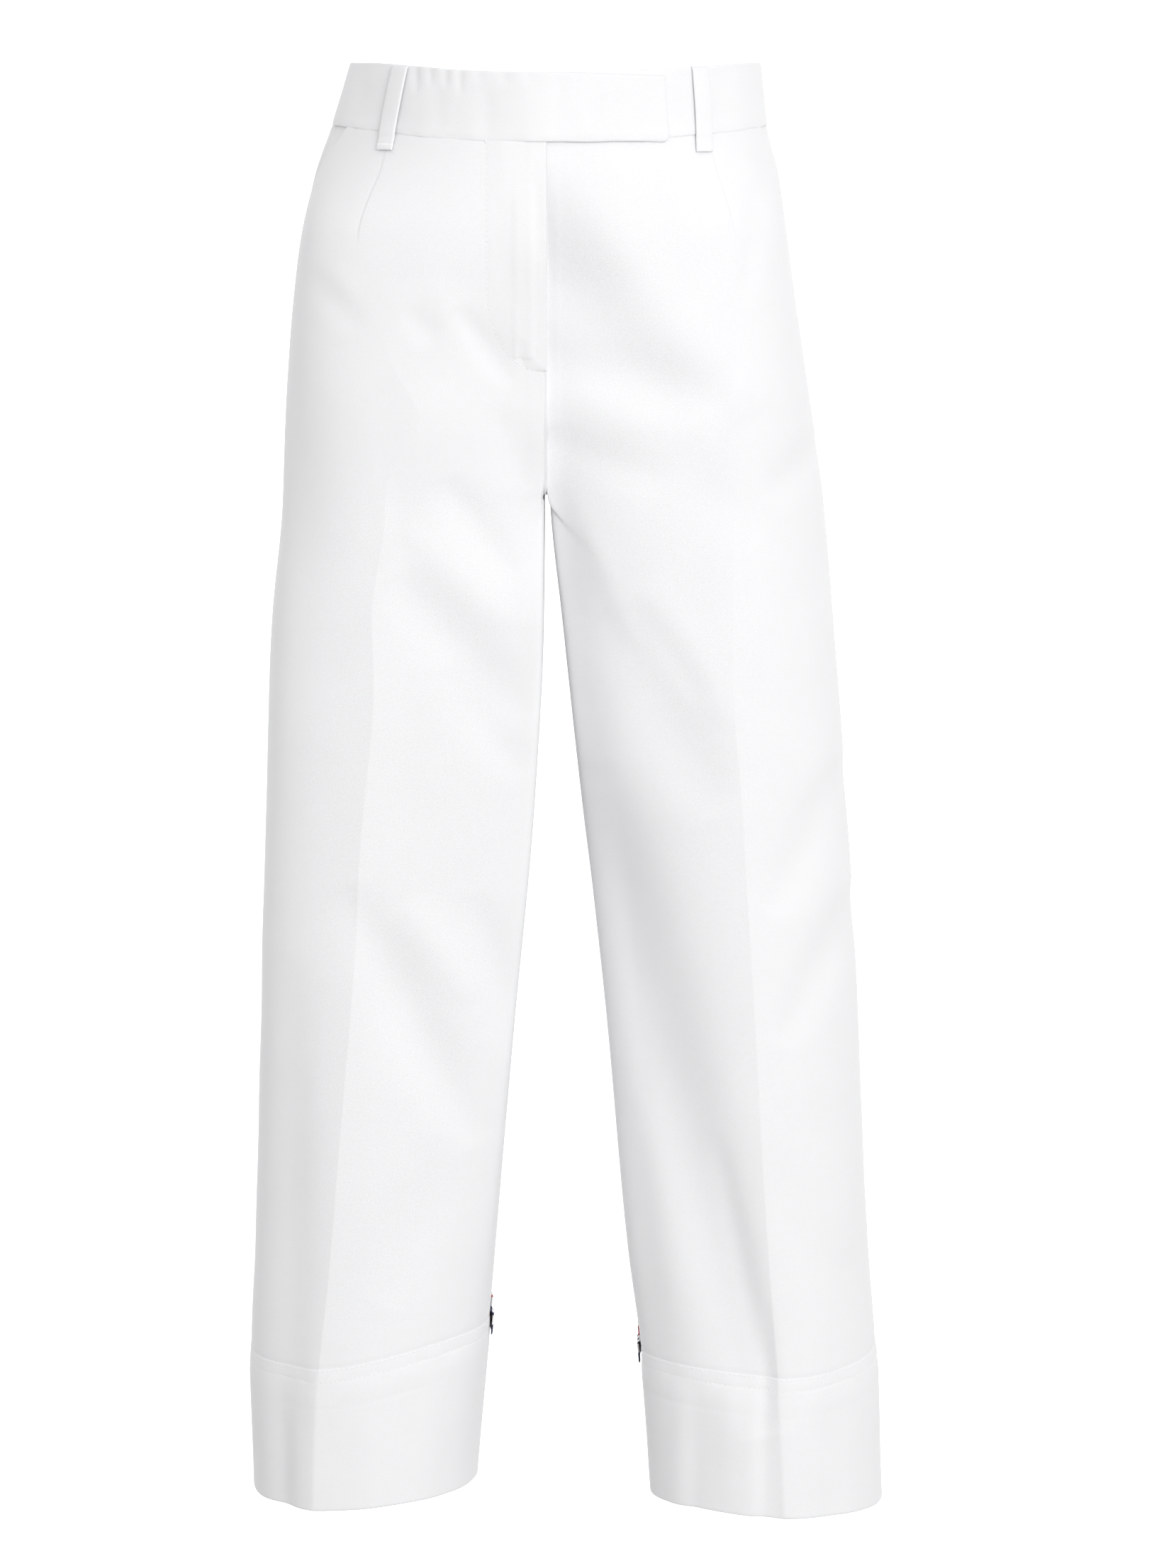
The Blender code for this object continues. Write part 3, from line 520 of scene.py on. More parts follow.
def normal_at(side, face, u, z):
    """Direction in which the cloth faces outwards."""
    across = formed(side, face, u + SLOPE_STEP, z) - formed(side, face, u - SLOPE_STEP, z)
    down = formed(side, face, u, z - SLOPE_STEP) - formed(side, face, u, z + SLOPE_STEP)
    normal = np.cross(across, down) * SIGN[side] * FORWARD[face]
    return normal / np.linalg.norm(normal, axis=-1, keepdims=True)


def cloth(side, face, u, z, out=0.0):
    """Points at a distance out from the cloth's outer face, along its normal."""
    u, z, out = np.broadcast_arrays(np.asarray(u, float), z, out)
    return formed(side, face, u, z) + normal_at(side, face, u, z) * out[..., None]


def layers(side, face, u, z, middle, half):
    """The outer and the inner face of a piece whose middle layer lies at a distance from the cloth."""
    return [cloth(side, face, u, z, middle + turn * half) for turn in (1, -1)]


def around(side, t, z, out):
    """Cloth on both faces of a side: t is -1 at the back's inner edge, 0 at the outseam, 1 at the front's."""
    on_front = (np.asarray(t) >= 0)[..., None]
    return np.where(on_front, cloth(side, "front", t, z, out), cloth(side, "back", -t, z, out))


def around_waist(t, z, out):
    """Cloth all round the body: t runs from -2 at the centre back, over 0 at the centre front, to 2."""
    on_left = (np.asarray(t) >= 0)[..., None]
    return np.where(on_left, around("left", 1 - t, z, out), around("right", 1 + t, z, out))


def u_at(side, face, x, z):
    """The place on a section of the body that lies at a distance x from the middle plane."""
    u = np.linspace(0, 1.1, 221)  # a little past the centre seam, for what laps over it
    distances, _ = plain(side, face, u, np.full_like(u, z))
    return np.interp(-x, -distances, u)


def rimmed(length, count, rim):
    """Places from 0 to length: an even run between two rims, each stepped like a quarter circle."""
    turn = rim * (1 - np.cos(np.radians([0, 35, 65])))
    return np.concatenate([turn, np.linspace(rim, length - rim, count), length - turn[::-1]])


def closing_up(count, strength=0.7):
    """Shares from 0 to 1 that close up towards both ends."""
    share = np.linspace(0, 1, count + 1)
    return share - strength * np.sin(2 * math.pi * share) / (2 * math.pi)


def half_thickness(thickness, *from_edges, kept=0.0):
    """Half the cloth's thickness, rounded off at each edge to a share of it that is kept."""
    nearest = np.minimum.reduce(np.broadcast_arrays(*from_edges))
    share = np.clip(nearest / (thickness / 2), 0, 1)
    return thickness / 2 * (kept + (1 - kept) * np.sqrt(1 - (1 - share) ** 2))


def flat_map(grid, centre=0):
    """Metres of flat cloth for each point of a grid: across from one column, and down from the top."""
    across = np.linalg.norm(np.diff(grid, axis=1), axis=-1)
    across = np.concatenate([np.zeros((len(grid), 1)), np.cumsum(across, axis=1)], axis=1)
    down = np.linalg.norm(np.diff(grid, axis=0), axis=-1)
    down = np.concatenate([np.zeros((1, grid.shape[1])), np.cumsum(down, axis=0)])
    return np.stack([across - across[:, centre : centre + 1], -down], axis=-1)


def upright_map(grid, centre):
    """The same for a panel whose grid lines slant: down is measured on the one column."""
    flat = flat_map(grid, centre)
    flat[..., 1] = flat[:, centre : centre + 1, 1] + grid[..., 2] - grid[:, centre : centre + 1, 2]
    return flat


def shell(name, outer, inner, material, slot="twill", ring=False, centre=0, cut=None):
    """One closed piece of cloth between two grids that share their edges. A ring repeats its first column."""
    rows, columns = outer.shape[:2]
    number = np.arange(rows * columns).reshape(rows, columns)
    inside = number + rows * columns
    inside[[0, -1]] = number[[0, -1]]
    if ring:
        number[:, -1], inside[:, -1] = number[:, 0], inside[:, 0]
    else:
        inside[:, [0, -1]] = number[:, [0, -1]]
    corner = np.arange(rows * columns).reshape(rows, columns)

    def quads(grid):
        return np.stack([grid[:-1, :-1], grid[1:, :-1], grid[1:, 1:], grid[:-1, 1:]], axis=-1).reshape(-1, 4)

    faces = np.concatenate([quads(number), quads(inside)[:, ::-1]])
    corners = np.concatenate([quads(corner), quads(corner)[:, ::-1]])
    points = np.concatenate([outer.reshape(-1, 3), inner.reshape(-1, 3)])
    used, faces = np.unique(faces, return_inverse=True)
    points, faces = points[used], faces.reshape(-1, 4)
    halves = np.concatenate([points[faces[:, [0, 1, 2]]], points[faces[:, [0, 2, 3]]]])
    if np.linalg.det(halves - points.mean(axis=0)).sum() < 0:
        faces, corners = faces[:, ::-1], corners[:, ::-1]
    mesh = bpy.data.meshes.new(name)
    mesh.from_pydata(points.tolist(), [], faces.tolist())
    cut = flat_map(outer, centre) if cut is None else cut
    mesh.uv_layers.new(name="cut").data.foreach_set("uv", cut.reshape(-1, 2)[corners.ravel()].ravel())
    mesh.shade_smooth()
    mesh.materials.append(material)
    piece = bpy.data.objects.new(name, mesh)
    bpy.context.scene.collection.objects.link(piece)
    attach(piece, "root")
    return piece


POCKET_SLANT = 0.031  # how far the pocket's edge lies from the side seam at the waist
POCKET_LENGTH = 0.165
OUTER_COLUMNS = 46  # outside the crease
INNER_COLUMNS = {"front": 46, "back": 26}  # from the crease to the leg's inner corner, and on to the inseam
CORNER = 0.757
PANEL_ROWS = 300


def pocket_edge(side, z):
    """Where the slant pocket's edge crosses the front."""
    depth = np.abs(read(side, "front", z) - read(side, "mid", z))
    width = POCKET_SLANT * np.clip(1 - (WAIST_SEAM - z) / POCKET_LENGTH, 0, 1)
    return width / (depth * math.pi / 2)


def leg_panel(side, face):
    """A front or a back, whose ends dive under the waistband and the cuff."""
    bottom = HEMS[side].z + CUFF_HEIGHT
    down = rimmed(WAIST_SEAM - bottom + 2 * TUCKED_LENGTH, PANEL_ROWS, CLOTH / 2)[:, None]
    level = WAIST_SEAM + TUCKED_LENGTH - down
    crease = read(side, "crease", level)
    outward, inward = closing_up(OUTER_COLUMNS, 0.85), closing_up(INNER_COLUMNS[face])[1:]
    start = pocket_edge(side, level) if face == "front" else np.zeros_like(level)
    to_crease = start + (crease - start) * outward
    to_corner = crease + (CORNER - crease) * inward
    to_inseam = CORNER + (1 - CORNER) * inward + 0 * level
    u = np.concatenate([to_crease, to_corner, to_inseam], axis=1)
    above = np.clip((level - FORK) / (WAIST_SEAM - FORK), 0, 1)
    below = np.clip((FORK - level) / (FORK - bottom), 0, 1)
    top_seam, bottom_seam = waist_seam(u), cuff_seam(side, face, u)
    z = level + above * (top_seam - WAIST_SEAM) + below * (bottom_seam - bottom)
    visible = np.minimum(top_seam - z, z - bottom_seam)
    middle = -CLOTH / 2 - TUCK * ease((TUCK_REACH - visible) / (TUCK_REACH + TUCKED_LENGTH / 2))
    across = (u - start) * PANEL_WIDTH, (1 - u) * PANEL_WIDTH
    half = half_thickness(CLOTH, *across, level[0] - level, level - level[-1], kept=SEAM_KEPT)
    grids = layers(side, face, u, z, middle, half)
    return shell(f"twill_{face}_{side}", *grids, TWILL, cut=upright_map(grids[0], OUTER_COLUMNS))


for side in SIGN:
    for face in FORWARD:
        piece = leg_panel(side, face)
        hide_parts(f"{face}_{side}")

# ---------------------------------------------------------------------------------------------------------
# Slant pockets: behind each opening the twill facing shows, which is caught in the side seam and the waist
# seam and lies flat against the front's turned edge.

FACING_CLOTH = 0.0010
FACING_MARGIN = 0.012
FACING_DROP = 0.0021  # how far below the front its outer face lies at the opening
FACING_SLOPE = 0.012  # width over which it falls away from the side seam
FACING_ROWS, FACING_COLUMNS = 60, 24


def pocket_facing(side):
    down = rimmed(POCKET_LENGTH, FACING_ROWS, FACING_CLOTH / 2)[:, None]
    level = WAIST_SEAM + TUCKED_LENGTH - down
    end = pocket_edge(side, level) + FACING_MARGIN / PANEL_WIDTH
    u = end * closing_up(FACING_COLUMNS, 0.6)
    z = level + (waist_seam(u) - WAIST_SEAM) * (1 - down / POCKET_LENGTH)
    across = u * PANEL_WIDTH
    drop = FACING_DROP * ease(across / FACING_SLOPE)
    tuck = TUCK * ease((TUCK_REACH - (waist_seam(u) - z)) / (TUCK_REACH + TUCKED_LENGTH / 2))
    middle = -FACING_CLOTH / 2 - np.maximum(drop, tuck)
    half = half_thickness(FACING_CLOTH, across, (end - u) * PANEL_WIDTH, down, POCKET_LENGTH - down)
    return shell(f"pocket_facing_twill_{side}", *layers(side, "front", u, z, middle, half), TWILL)


for side in SIGN:
    piece = pocket_facing(side)
    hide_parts(f"pocket_facing_{side}")

# ---------------------------------------------------------------------------------------------------------
# Fly: the right front laps over the left and is sewn down along a J. The zip's far side lifts a narrow strip
# of it, which ends in a small notch.

FLY_CLOTH = 0.0010
FLY_CLEARANCE = 0.00015
FLY_SUNK = 0.00035  # how deep its sewn edge sinks into the front
FLY_RISE = 0.014  # width over which it rises out of it
FLY_WIDTH = 0.0365
FLY_TIP = 0.004
FLY_LEVELLING = 0.3
FLY_LAP = 0.0020
FLY_BEND = -0.118
FLY_BOTTOM = -0.1695
FLY_TAPERED = 0.12  # how slowly the cloth gains its thickness from the J, where it is one with the front
FLY_ENDS = (0.10, 0.03)  # lengths that the whole run counts for as the thickness grows: top, tip
FLY_ROWS, FLY_COLUMNS = 90, 34
FLY_RIM = 0.004
ZIP_STRIP = (0.0051, 0.0195, -0.0500, -0.1632)  # near and far side, top and bottom
ZIP_LIFT = 0.00055
ZIP_EDGE = 0.0016
ZIP_ENDS = (0.02, 0.003)  # lengths over which it rises at its top and at its bottom
FLY_FOLDS = (
    Fold(0.0130, -0.1490, 0.0160, -0.1700, 0.0030, 0.0009),
    Fold(0.0060, -0.0400, 0.0030, -0.1000, 0.0050, 0.0006),
    Fold(0.0260, -0.0600, 0.0230, -0.1300, 0.0060, 0.0004),
)


def fly_places():
    """Ends of the rows, shares down, and places and heights of a grid that fills the J on the right front."""
    down = rimmed(1.0, FLY_ROWS, FLY_RIM)[:, None]
    top = waist_seam(1.0) + TUCKED_LENGTH / 2
    level = top + (FLY_BOTTOM - top) * np.sin(down * math.pi / 2)
    curve = np.clip((FLY_BEND - level) / (FLY_BEND - FLY_BOTTOM), 0, 1)
    width = FLY_TIP + (FLY_WIDTH - FLY_TIP) * np.sqrt(1 - curve**2)
    start = np.array([u_at("right", "front", x, z) for x, z in zip(width.flat, level.flat)])[:, None]
    end = np.array([u_at("right", "front", -FLY_LAP, z) for z in level.flat])[:, None]
    u = start + (end - start) * closing_up(FLY_COLUMNS, 0.6)
    z = level + (waist_seam(np.minimum(u, 1)) - waist_seam(1.0)) * ease(1 - down / FLY_LEVELLING)
    return start, end, down, u, z


def fly_rise(u, z):
    """How far the zip's strip and the lap's own small folds lift the fly."""
    x, _ = plain("right", "front", u, z)
    near, far, top, bottom = ZIP_STRIP
    from_top, from_bottom = ZIP_ENDS
    strip = ease((x - near) / ZIP_EDGE) * ease((far - x) / ZIP_EDGE)
    strip = strip * ease((top - z) / from_top) * ease((z - bottom) / from_bottom)
    return ZIP_LIFT * strip + folded(FLY_FOLDS, x, z)


def fly_lap():
    start, end, down, u, z = fly_places()
    across = (u - start) * PANEL_WIDTH
    from_top, from_tip = down * FLY_ENDS[0], (down[-1] - down) * FLY_ENDS[1]
    half = half_thickness(FLY_CLOTH, across * FLY_TAPERED, (end - u) * PANEL_WIDTH, from_top, from_tip)
    middle = (FLY_CLOTH / 2 + FLY_CLEARANCE + FLY_SUNK) * ease(across / FLY_RISE) - FLY_SUNK + fly_rise(u, z)
    return shell("fly_lap", *layers("right", "front", u, z, middle, half), TWILL)


piece = fly_lap()
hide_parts("fly_placket")

# ---------------------------------------------------------------------------------------------------------
# Waistband: two stiffened halves, folded at the top, whose right one runs on as a square tab over the left
# one's covered end. The seam below pulls its lower edge into small waves.

BAND_CLOTH = 0.0022
BAND_PROUD = 0.0006
BAND_TOP = 0.0200
BAND_TOP_DIP = 0.0064
TAB_REACH = 0.0745
TAB_TOP_DROP = 0.0020
TAB_RAMP = 0.20
TAB_CORNERS = (0.0045, 0.0020)  # radii of its lower and upper corner
LEFT_BAND_START = 0.010
BAND_ROWS = 26
BAND_STEP = 0.0018  # between columns
BAND_HEIGHT = 0.039
BAND_EDGE_KEPT = 0.2  # share of its thickness at its edges
BAND_PINCH = 0.00080  # how far the seam draws in the band's lower edge
BAND_PINCH_SIZE = (0.007, 0.0022)  # along, up
BAND_PINCH_SHARES = (0.7, 0.3)  # steady, uneven
BAND_WAVE = 0.00030
BAND_WAVE_SIZE = (0.013, 0.02)
BAND_WAVE_REACH = (0.4, 0.007)  # share of a wave that reaches the top, and height of the rest
SEAM_WAVE = (0.00025, 0.016)  # height and length of the waves in the band's lower edge
TOP_WAVE = (0.0002, 0.03)
BAND_FOLDS = {
    ("right", "front"): (
        Fold(0.0800, 0.0260, 0.0790, 0.0000, 0.0026, 0.0009),
        Fold(0.0705, 0.0240, 0.0700, 0.0050, 0.0024, 0.0008),
        Fold(0.0610, 0.0250, 0.0600, 0.0030, 0.0026, 0.0010),
        Fold(0.0515, 0.0240, 0.0510, -0.0010, 0.0024, 0.0008),
        Fold(0.0400, 0.0220, 0.0390, 0.0060, 0.0030, 0.0005),
        Fold(0.0237, 0.0200, 0.0240, 0.0060, 0.0040, 0.0007),
        Fold(0.0085, 0.0200, 0.0090, 0.0050, 0.0030, 0.0006),
        Fold(0.0660, 0.0160, 0.0640, -0.0220, 0.0060, 0.0006),
        Fold(0.0360, 0.0060, 0.0340, -0.0280, 0.0060, 0.0006),
        Fold(0.1150, 0.0200, 0.1130, -0.0200, 0.0070, 0.0008),
    ),
    ("left", "front"): (
        Fold(0.0850, 0.0180, 0.0860, -0.0220, 0.0050, 0.0006),
        Fold(0.0300, 0.0160, 0.0310, -0.0240, 0.0070, 0.0005),
        Fold(0.1130, 0.0200, 0.1120, -0.0200, 0.0070, 0.0007),
    ),
    ("right", "back"): (
        Fold(0.0300, 0.0160, 0.0310, -0.0240, 0.0070, 0.0006),
        Fold(0.0600, 0.0180, 0.0590, -0.0150, 0.0050, 0.0006),
        Fold(0.1060, 0.0200, 0.1040, -0.0200, 0.0070, 0.0008),
    ),
    ("left", "back"): (
        Fold(0.0260, 0.0180, 0.0270, -0.0200, 0.0060, 0.0006),
        Fold(0.0650, 0.0160, 0.0640, -0.0240, 0.0060, 0.0006),
        Fold(0.1080, 0.0200, 0.1070, -0.0200, 0.0070, 0.0008),
    ),
}


def band_top(u):
    """Height of the waistband's upper edge."""
    return BAND_TOP - BAND_TOP_DIP * np.sin(u * math.pi / 2) ** 3


def tab_end():
    """The place round the waist where the tab ends."""
    return 1 - u_at("left", "front", TAB_REACH, 0.0)


def faces_at(t):
    """Which part of the waist each place t is on, as (side, face, mask, u)."""
    for side, face, mask, u in (
        ("left", "front", (t >= 0) & (t < 1), 1 - t),
        ("left", "back", t >= 1, t - 1),
        ("right", "front", (t < 0) & (t > -1), 1 + t),
        ("right", "back", t <= -1, -1 - t),
    ):
        yield side, face, mask, u


def band_relief(t, z, above_seam):
    """How far folds, small waves and the pinch of the seam move the band outwards."""
    moved = np.zeros_like(z)
    for side, face, mask, u in faces_at(t):
        x, _ = plain(side, face, np.clip(u, 0, 1), z)
        moved = moved + np.where(mask, folded(BAND_FOLDS[side, face], x, z), 0)
    along = t * PANEL_WIDTH
    length, height = BAND_WAVE_SIZE
    everywhere, reach = BAND_WAVE_REACH
    waves = uneven(along / length + 50.5, above_seam / height, 61) * BAND_WAVE
    length, height = BAND_PINCH_SIZE
    steady, rest = BAND_PINCH_SHARES
    pinch = hill(above_seam, height) * (steady + rest * uneven(along / length + 90.1, 0 * z, 62))
    return moved + waves * (everywhere + np.exp(-above_seam / reach)) - BAND_PINCH * pinch


def wavy(t, wave, phase, seed):
    """How uneven an edge is along t, from the height and the length of its waves."""
    height, length = wave
    return height * uneven(t * PANEL_WIDTH / length + phase, 0 * t, seed)


def corner_cut(radius, from_end):
    """How much a rounded corner takes off an edge at a distance from its end."""
    inside = np.clip(from_end, 0, radius)
    return radius - np.sqrt(np.maximum(radius**2 - (radius - inside) ** 2, 0))


def band_half(name, ends, columns_u, lift=np.zeros_like, drop=np.zeros_like, corners=(0, 0)):
    """Half the waistband between two places round the waist."""
    length = (ends[1] - ends[0]) * PANEL_WIDTH
    along = rimmed(length, int(length / BAND_STEP), BAND_CLOTH / 2)[None, :]
    t = ends[0] + along / PANEL_WIDTH
    u = columns_u(t)
    seam = waist_seam(u) + wavy(t, SEAM_WAVE, 70.3, 63) + corner_cut(corners[0], length - along)
    top = band_top(u) - drop(t) + wavy(t, TOP_WAVE, 20.3, 64) - corner_cut(corners[1], length - along)
    up = rimmed(1.0, BAND_ROWS, BAND_CLOTH / 2 / BAND_HEIGHT)[:, None]
    z = seam + (top - seam) * up
    t = np.broadcast_to(t, z.shape)
    half = half_thickness(BAND_CLOTH, z - seam, top - z, along, length - along, kept=BAND_EDGE_KEPT)
    middle = BAND_PROUD - BAND_CLOTH / 2 + lift(t) + band_relief(t, z, z - seam)
    return shell(name, *(around_waist(t, z, middle + turn * half) for turn in (1, -1)), TWILL)


def waistband_right():
    return band_half(
        "waistband_twill_right",
        (-2.0, tab_end()),
        lambda t: np.where(t < -1, -1 - t, np.where(t < 0, 1 + t, 1.0)),
        lift=lambda t: (BAND_CLOTH + SEAM_GAP) * ease(1 + t / TAB_RAMP),
        drop=lambda t: TAB_TOP_DROP * ease(t / tab_end()),
        corners=TAB_CORNERS,
    )


def waistband_left():
    return band_half("waistband_twill_left", (LEFT_BAND_START, 2.0), lambda t: np.abs(1 - t))


for piece, node, length in (
    (waistband_right(), "waistband_right", 0.47),
    (waistband_left(), "waistband_left", 0.38),
):
    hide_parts(node)

# ---------------------------------------------------------------------------------------------------------
# Belt loops: five strips of twill, each caught in the band's top edge and turned under at its lower end,
# where a bar tack holds it just below the band.

# A loop's ends are given by their distance from the middle plane
Loop = namedtuple("Loop", "name side face top bottom")
LOOPS = (
    Loop("front_right", "right", "front", 0.0885, 0.0985),
    Loop("front_left", "left", "front", 0.0955, 0.0987),
    Loop("back_right", "right", "back", 0.0820, 0.0840),
    Loop("back_left", "left", "back", 0.0820, 0.0840),
    Loop("back_centre", "right", "back", 0.0000, 0.0000),
)
LOOP_WIDTH = 0.010
LOOP_CLOTH = 0.0016
LOOP_STAND_OFF = 0.0008
LOOP_BELOW_BAND = 0.0110
LOOP_STEP = 0.004
LOOP_CAUGHT = 0.0018  # length over which the top end bends into the band's edge
LOOP_TURNED = (0.007, 0.0003)  # length and height of the turned-under end
LOOP_TURNED_EDGE = 0.001
LOOP_CROWN = 0.0003
LOOP_ROWS, LOOP_COLUMNS = 44, 8
LOOP_RIM = LOOP_CLOTH / 2 / 0.05  # half its thickness as a share of its length
TACK_UP = 0.0030  # the bar tack's height over the loop's lower end
TACK_WIDTH = 0.0008


def loop_span(loop):
    """Heights of a loop's top end and of the waist seam under it, and its length."""
    middle = u_at(loop.side, loop.face, loop.top, 0.0)
    top, seam = band_top(middle), waist_seam(middle)
    return top, seam, top - seam + LOOP_BELOW_BAND


def loop_surface(loop, down, across):
    """Points of a loop's middle layer: down it from 0 to 1, and across it in metres."""
    top, seam, length = loop_span(loop)
    heights = top - length * down
    middles = loop.top + (loop.bottom - loop.top) * down
    u = np.array([[u_at(loop.side, loop.face, x + dx, z) for dx in across] for x, z in zip(middles, heights)])
    from_top, from_bottom = down * length, (1 - down) * length
    seat = SEAM_GAP + BAND_PROUD * ease((heights - seam + LOOP_STEP) / LOOP_STEP)
    turned, rise = LOOP_TURNED
    out = seat + LOOP_STAND_OFF * np.sin(down * math.pi) + LOOP_CLOTH / 2
    out = out - LOOP_CLOTH * ease(1 - from_top / LOOP_CAUGHT)
    out = out + rise * ease((turned - from_bottom) / LOOP_TURNED_EDGE)
    out = out - rise * hill(from_bottom - TACK_UP, TACK_WIDTH)
    crown = LOOP_CROWN * (1 - (2 * across / LOOP_WIDTH) ** 2)
    return u, np.broadcast_to(heights[:, None], u.shape), out[:, None] + crown


def belt_loop(loop):
    down = rimmed(1.0, LOOP_ROWS, LOOP_RIM)
    across = rimmed(LOOP_WIDTH, LOOP_COLUMNS, LOOP_CLOTH / 2) - LOOP_WIDTH / 2
    u, z, out = loop_surface(loop, down, across)
    length = loop_span(loop)[2]
    to_side = LOOP_WIDTH / 2 - np.abs(across)[None, :]
    half = half_thickness(LOOP_CLOTH, to_side, down[:, None] * length, (1 - down[:, None]) * length)
    return shell(f"loop_{loop.name}", *layers(loop.side, loop.face, u, z, out, half), TWILL)


for loop in LOOPS:
    piece = belt_loop(loop)
    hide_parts(f"belt_loop_{loop.name}")

# ---------------------------------------------------------------------------------------------------------
# Cuffs: deep turned-up bands, each one tube, topstitched in two rows with the allowance raised between them.
# They keep the leg's pressed creases, a pressed line below the stitching and soft upright folds.

CUFF_CLOTH = 0.0026
CUFF_PROUD = 0.0015
CUFF_FLUSH = 0.0002  # how far its top edge, caught by the seam, stands out
CUFF_SEWN = 0.8  # share of its thickness that it keeps at its top edge
CUFF_FOLDED = 0.2  # and at its hem
CUFF_RISE = 0.020
CUFF_COLUMNS = 44  # on each side of a crease
CUFF_ROWS = 64
STITCH_ROWS = (0.0011, 0.0085)  # distances below the cuff's top edge
CUFF_FINE_ROWS = (0.0018, 0.0122, 0.0004)  # from, to, step of the closer rows of points at the stitches
CUFF_RIDGE = (0.0048, 0.0022, 0.00010)  # distance below the top, half width, height
CUFF_GROOVES = ((0.00013, 0.0007), (0.00026, 0.0009))  # depth and half width at each row of stitches
CUFF_GATHER_SIZE = (0.0042, 0.010)  # along, down
CUFF_GATHER_SHARES = (0.6, 0.4)  # steady, uneven
CUFF_PUCKER = 0.00042
CUFF_PUCKER_SIZE = (0.0075, 0.012)
CUFF_PUCKER_REACH = 0.006
PRESSED_LINE = (0.026, 0.0016, 0.00022)  # distance below the top, half width, depth
PRESSED_LENGTH = 0.03  # over which it comes and goes
RING_FADE = 0.02  # a ring's two ends have to agree, so its unevenness fades over this width beside the inseam
HEM_WAVE = (0.0003, 0.04)
HEM_FADE = 0.05
CUFF_FOLDS = {
    ("right", "front"): (
        Fold(0.1735, -0.812, 0.1715, -0.960, 0.0060, 0.0012),
        Fold(0.1600, -0.815, 0.1590, -0.965, 0.0060, -0.0008),
        Fold(0.0900, -0.815, 0.0915, -0.900, 0.0090, 0.0008),
        Fold(0.1150, -0.830, 0.1160, -0.960, 0.0100, -0.0006),
        Fold(0.0640, -0.815, 0.0660, -0.930, 0.0070, 0.0007),
    ),
    ("left", "front"): (
        Fold(0.0880, -0.815, 0.0875, -0.975, 0.0060, -0.0009),
        Fold(0.0980, -0.820, 0.0965, -0.980, 0.0050, 0.0008),
        Fold(0.1405, -0.815, 0.1415, -0.985, 0.0050, 0.0016),
        Fold(0.1180, -0.815, 0.1190, -0.910, 0.0080, -0.0006),
        Fold(0.1850, -0.815, 0.1850, -0.960, 0.0090, 0.0010),
        Fold(0.2000, -0.850, 0.1990, -0.990, 0.0070, -0.0008),
    ),
    ("right", "back"): (
        Fold(0.0850, -0.815, 0.0860, -0.930, 0.0080, 0.0010),
        Fold(0.1450, -0.815, 0.1440, -0.970, 0.0080, 0.0012),
        Fold(0.1650, -0.815, 0.1640, -0.950, 0.0070, -0.0008),
    ),
    ("left", "back"): (
        Fold(0.1050, -0.815, 0.1040, -0.950, 0.0080, 0.0012),
        Fold(0.1650, -0.815, 0.1670, -0.980, 0.0080, 0.0010),
        Fold(0.1900, -0.815, 0.1900, -0.960, 0.0070, -0.0008),
    ),
}


def leg_ring(side):
    """Places all round a leg from the inseam over the back to the front, closing up towards both creases."""
    crease = read(side, "crease", HEMS[side].z)
    share = closing_up(CUFF_COLUMNS)
    half = np.concatenate([crease * share, crease + (1 - crease) * share[1:]])
    return np.concatenate([-half[:0:-1], half])


def cuff_rise(side, t, z, down):
    """How far a cuff's stitching, pressing and upright folds lift it."""
    moved = np.zeros_like(z)
    for face, mask in (("front", t >= 0), ("back", t < 0)):
        x, _ = plain(side, face, np.abs(t), z)
        moved = moved + np.where(mask, folded(CUFF_FOLDS[side, face], x, z), 0)
    along = t * PANEL_WIDTH
    seed = 71 + 5 * (side == "left")
    ring_fade = ease((1 - np.abs(t)) / RING_FADE)
    length, height = CUFF_GATHER_SIZE
    steady, rest = CUFF_GATHER_SHARES
    gather = steady + rest * uneven(along / length + 100.2, down / height, seed) * ring_fade
    for row, (depth, width) in zip(STITCH_ROWS, CUFF_GROOVES):
        moved = moved - depth * gather * hill(down - row, width)
    place, width, rise = CUFF_RIDGE
    moved = moved + rise * hill(down - place, width)
    length, height = CUFF_PUCKER_SIZE
    pucker = uneven(along / length + 60.4, down / height + 0.5, seed + 1)
    pucker = CUFF_PUCKER * pucker * ring_fade * np.exp(-np.abs(down - STITCH_ROWS[1]) / CUFF_PUCKER_REACH)
    place, width, depth = PRESSED_LINE
    pressed = 0.5 + 0.5 * uneven(along / PRESSED_LENGTH + 60.7, down * 0, seed + 2)
    return moved + pucker - depth * (hill(down - place, width) * pressed)


def cuff_surface(side, t, down):
    """Places, heights and lift of a cuff's outer face at distances down from its top edge."""
    low = np.where(t < 0, hem(side, "back", -t), hem(side, "front", t))
    low = low + wavy(t, HEM_WAVE, 30.9, 81) * ease((1 - np.abs(t)) / HEM_FADE)
    # the seam's rise dies away from the pressed line to the hem
    spread = 1 - ease((down - PRESSED_LINE[0]) / (CUFF_HEIGHT - PRESSED_LINE[0]))
    z = low + CUFF_HEIGHT + seam_lift(side, np.abs(t)) * spread - down
    moved = cuff_rise(side, t + 0 * z, z, down + 0 * z)
    return t + 0 * z, z, CUFF_FLUSH + (CUFF_PROUD - CUFF_FLUSH) * ease(down / CUFF_RISE) + moved


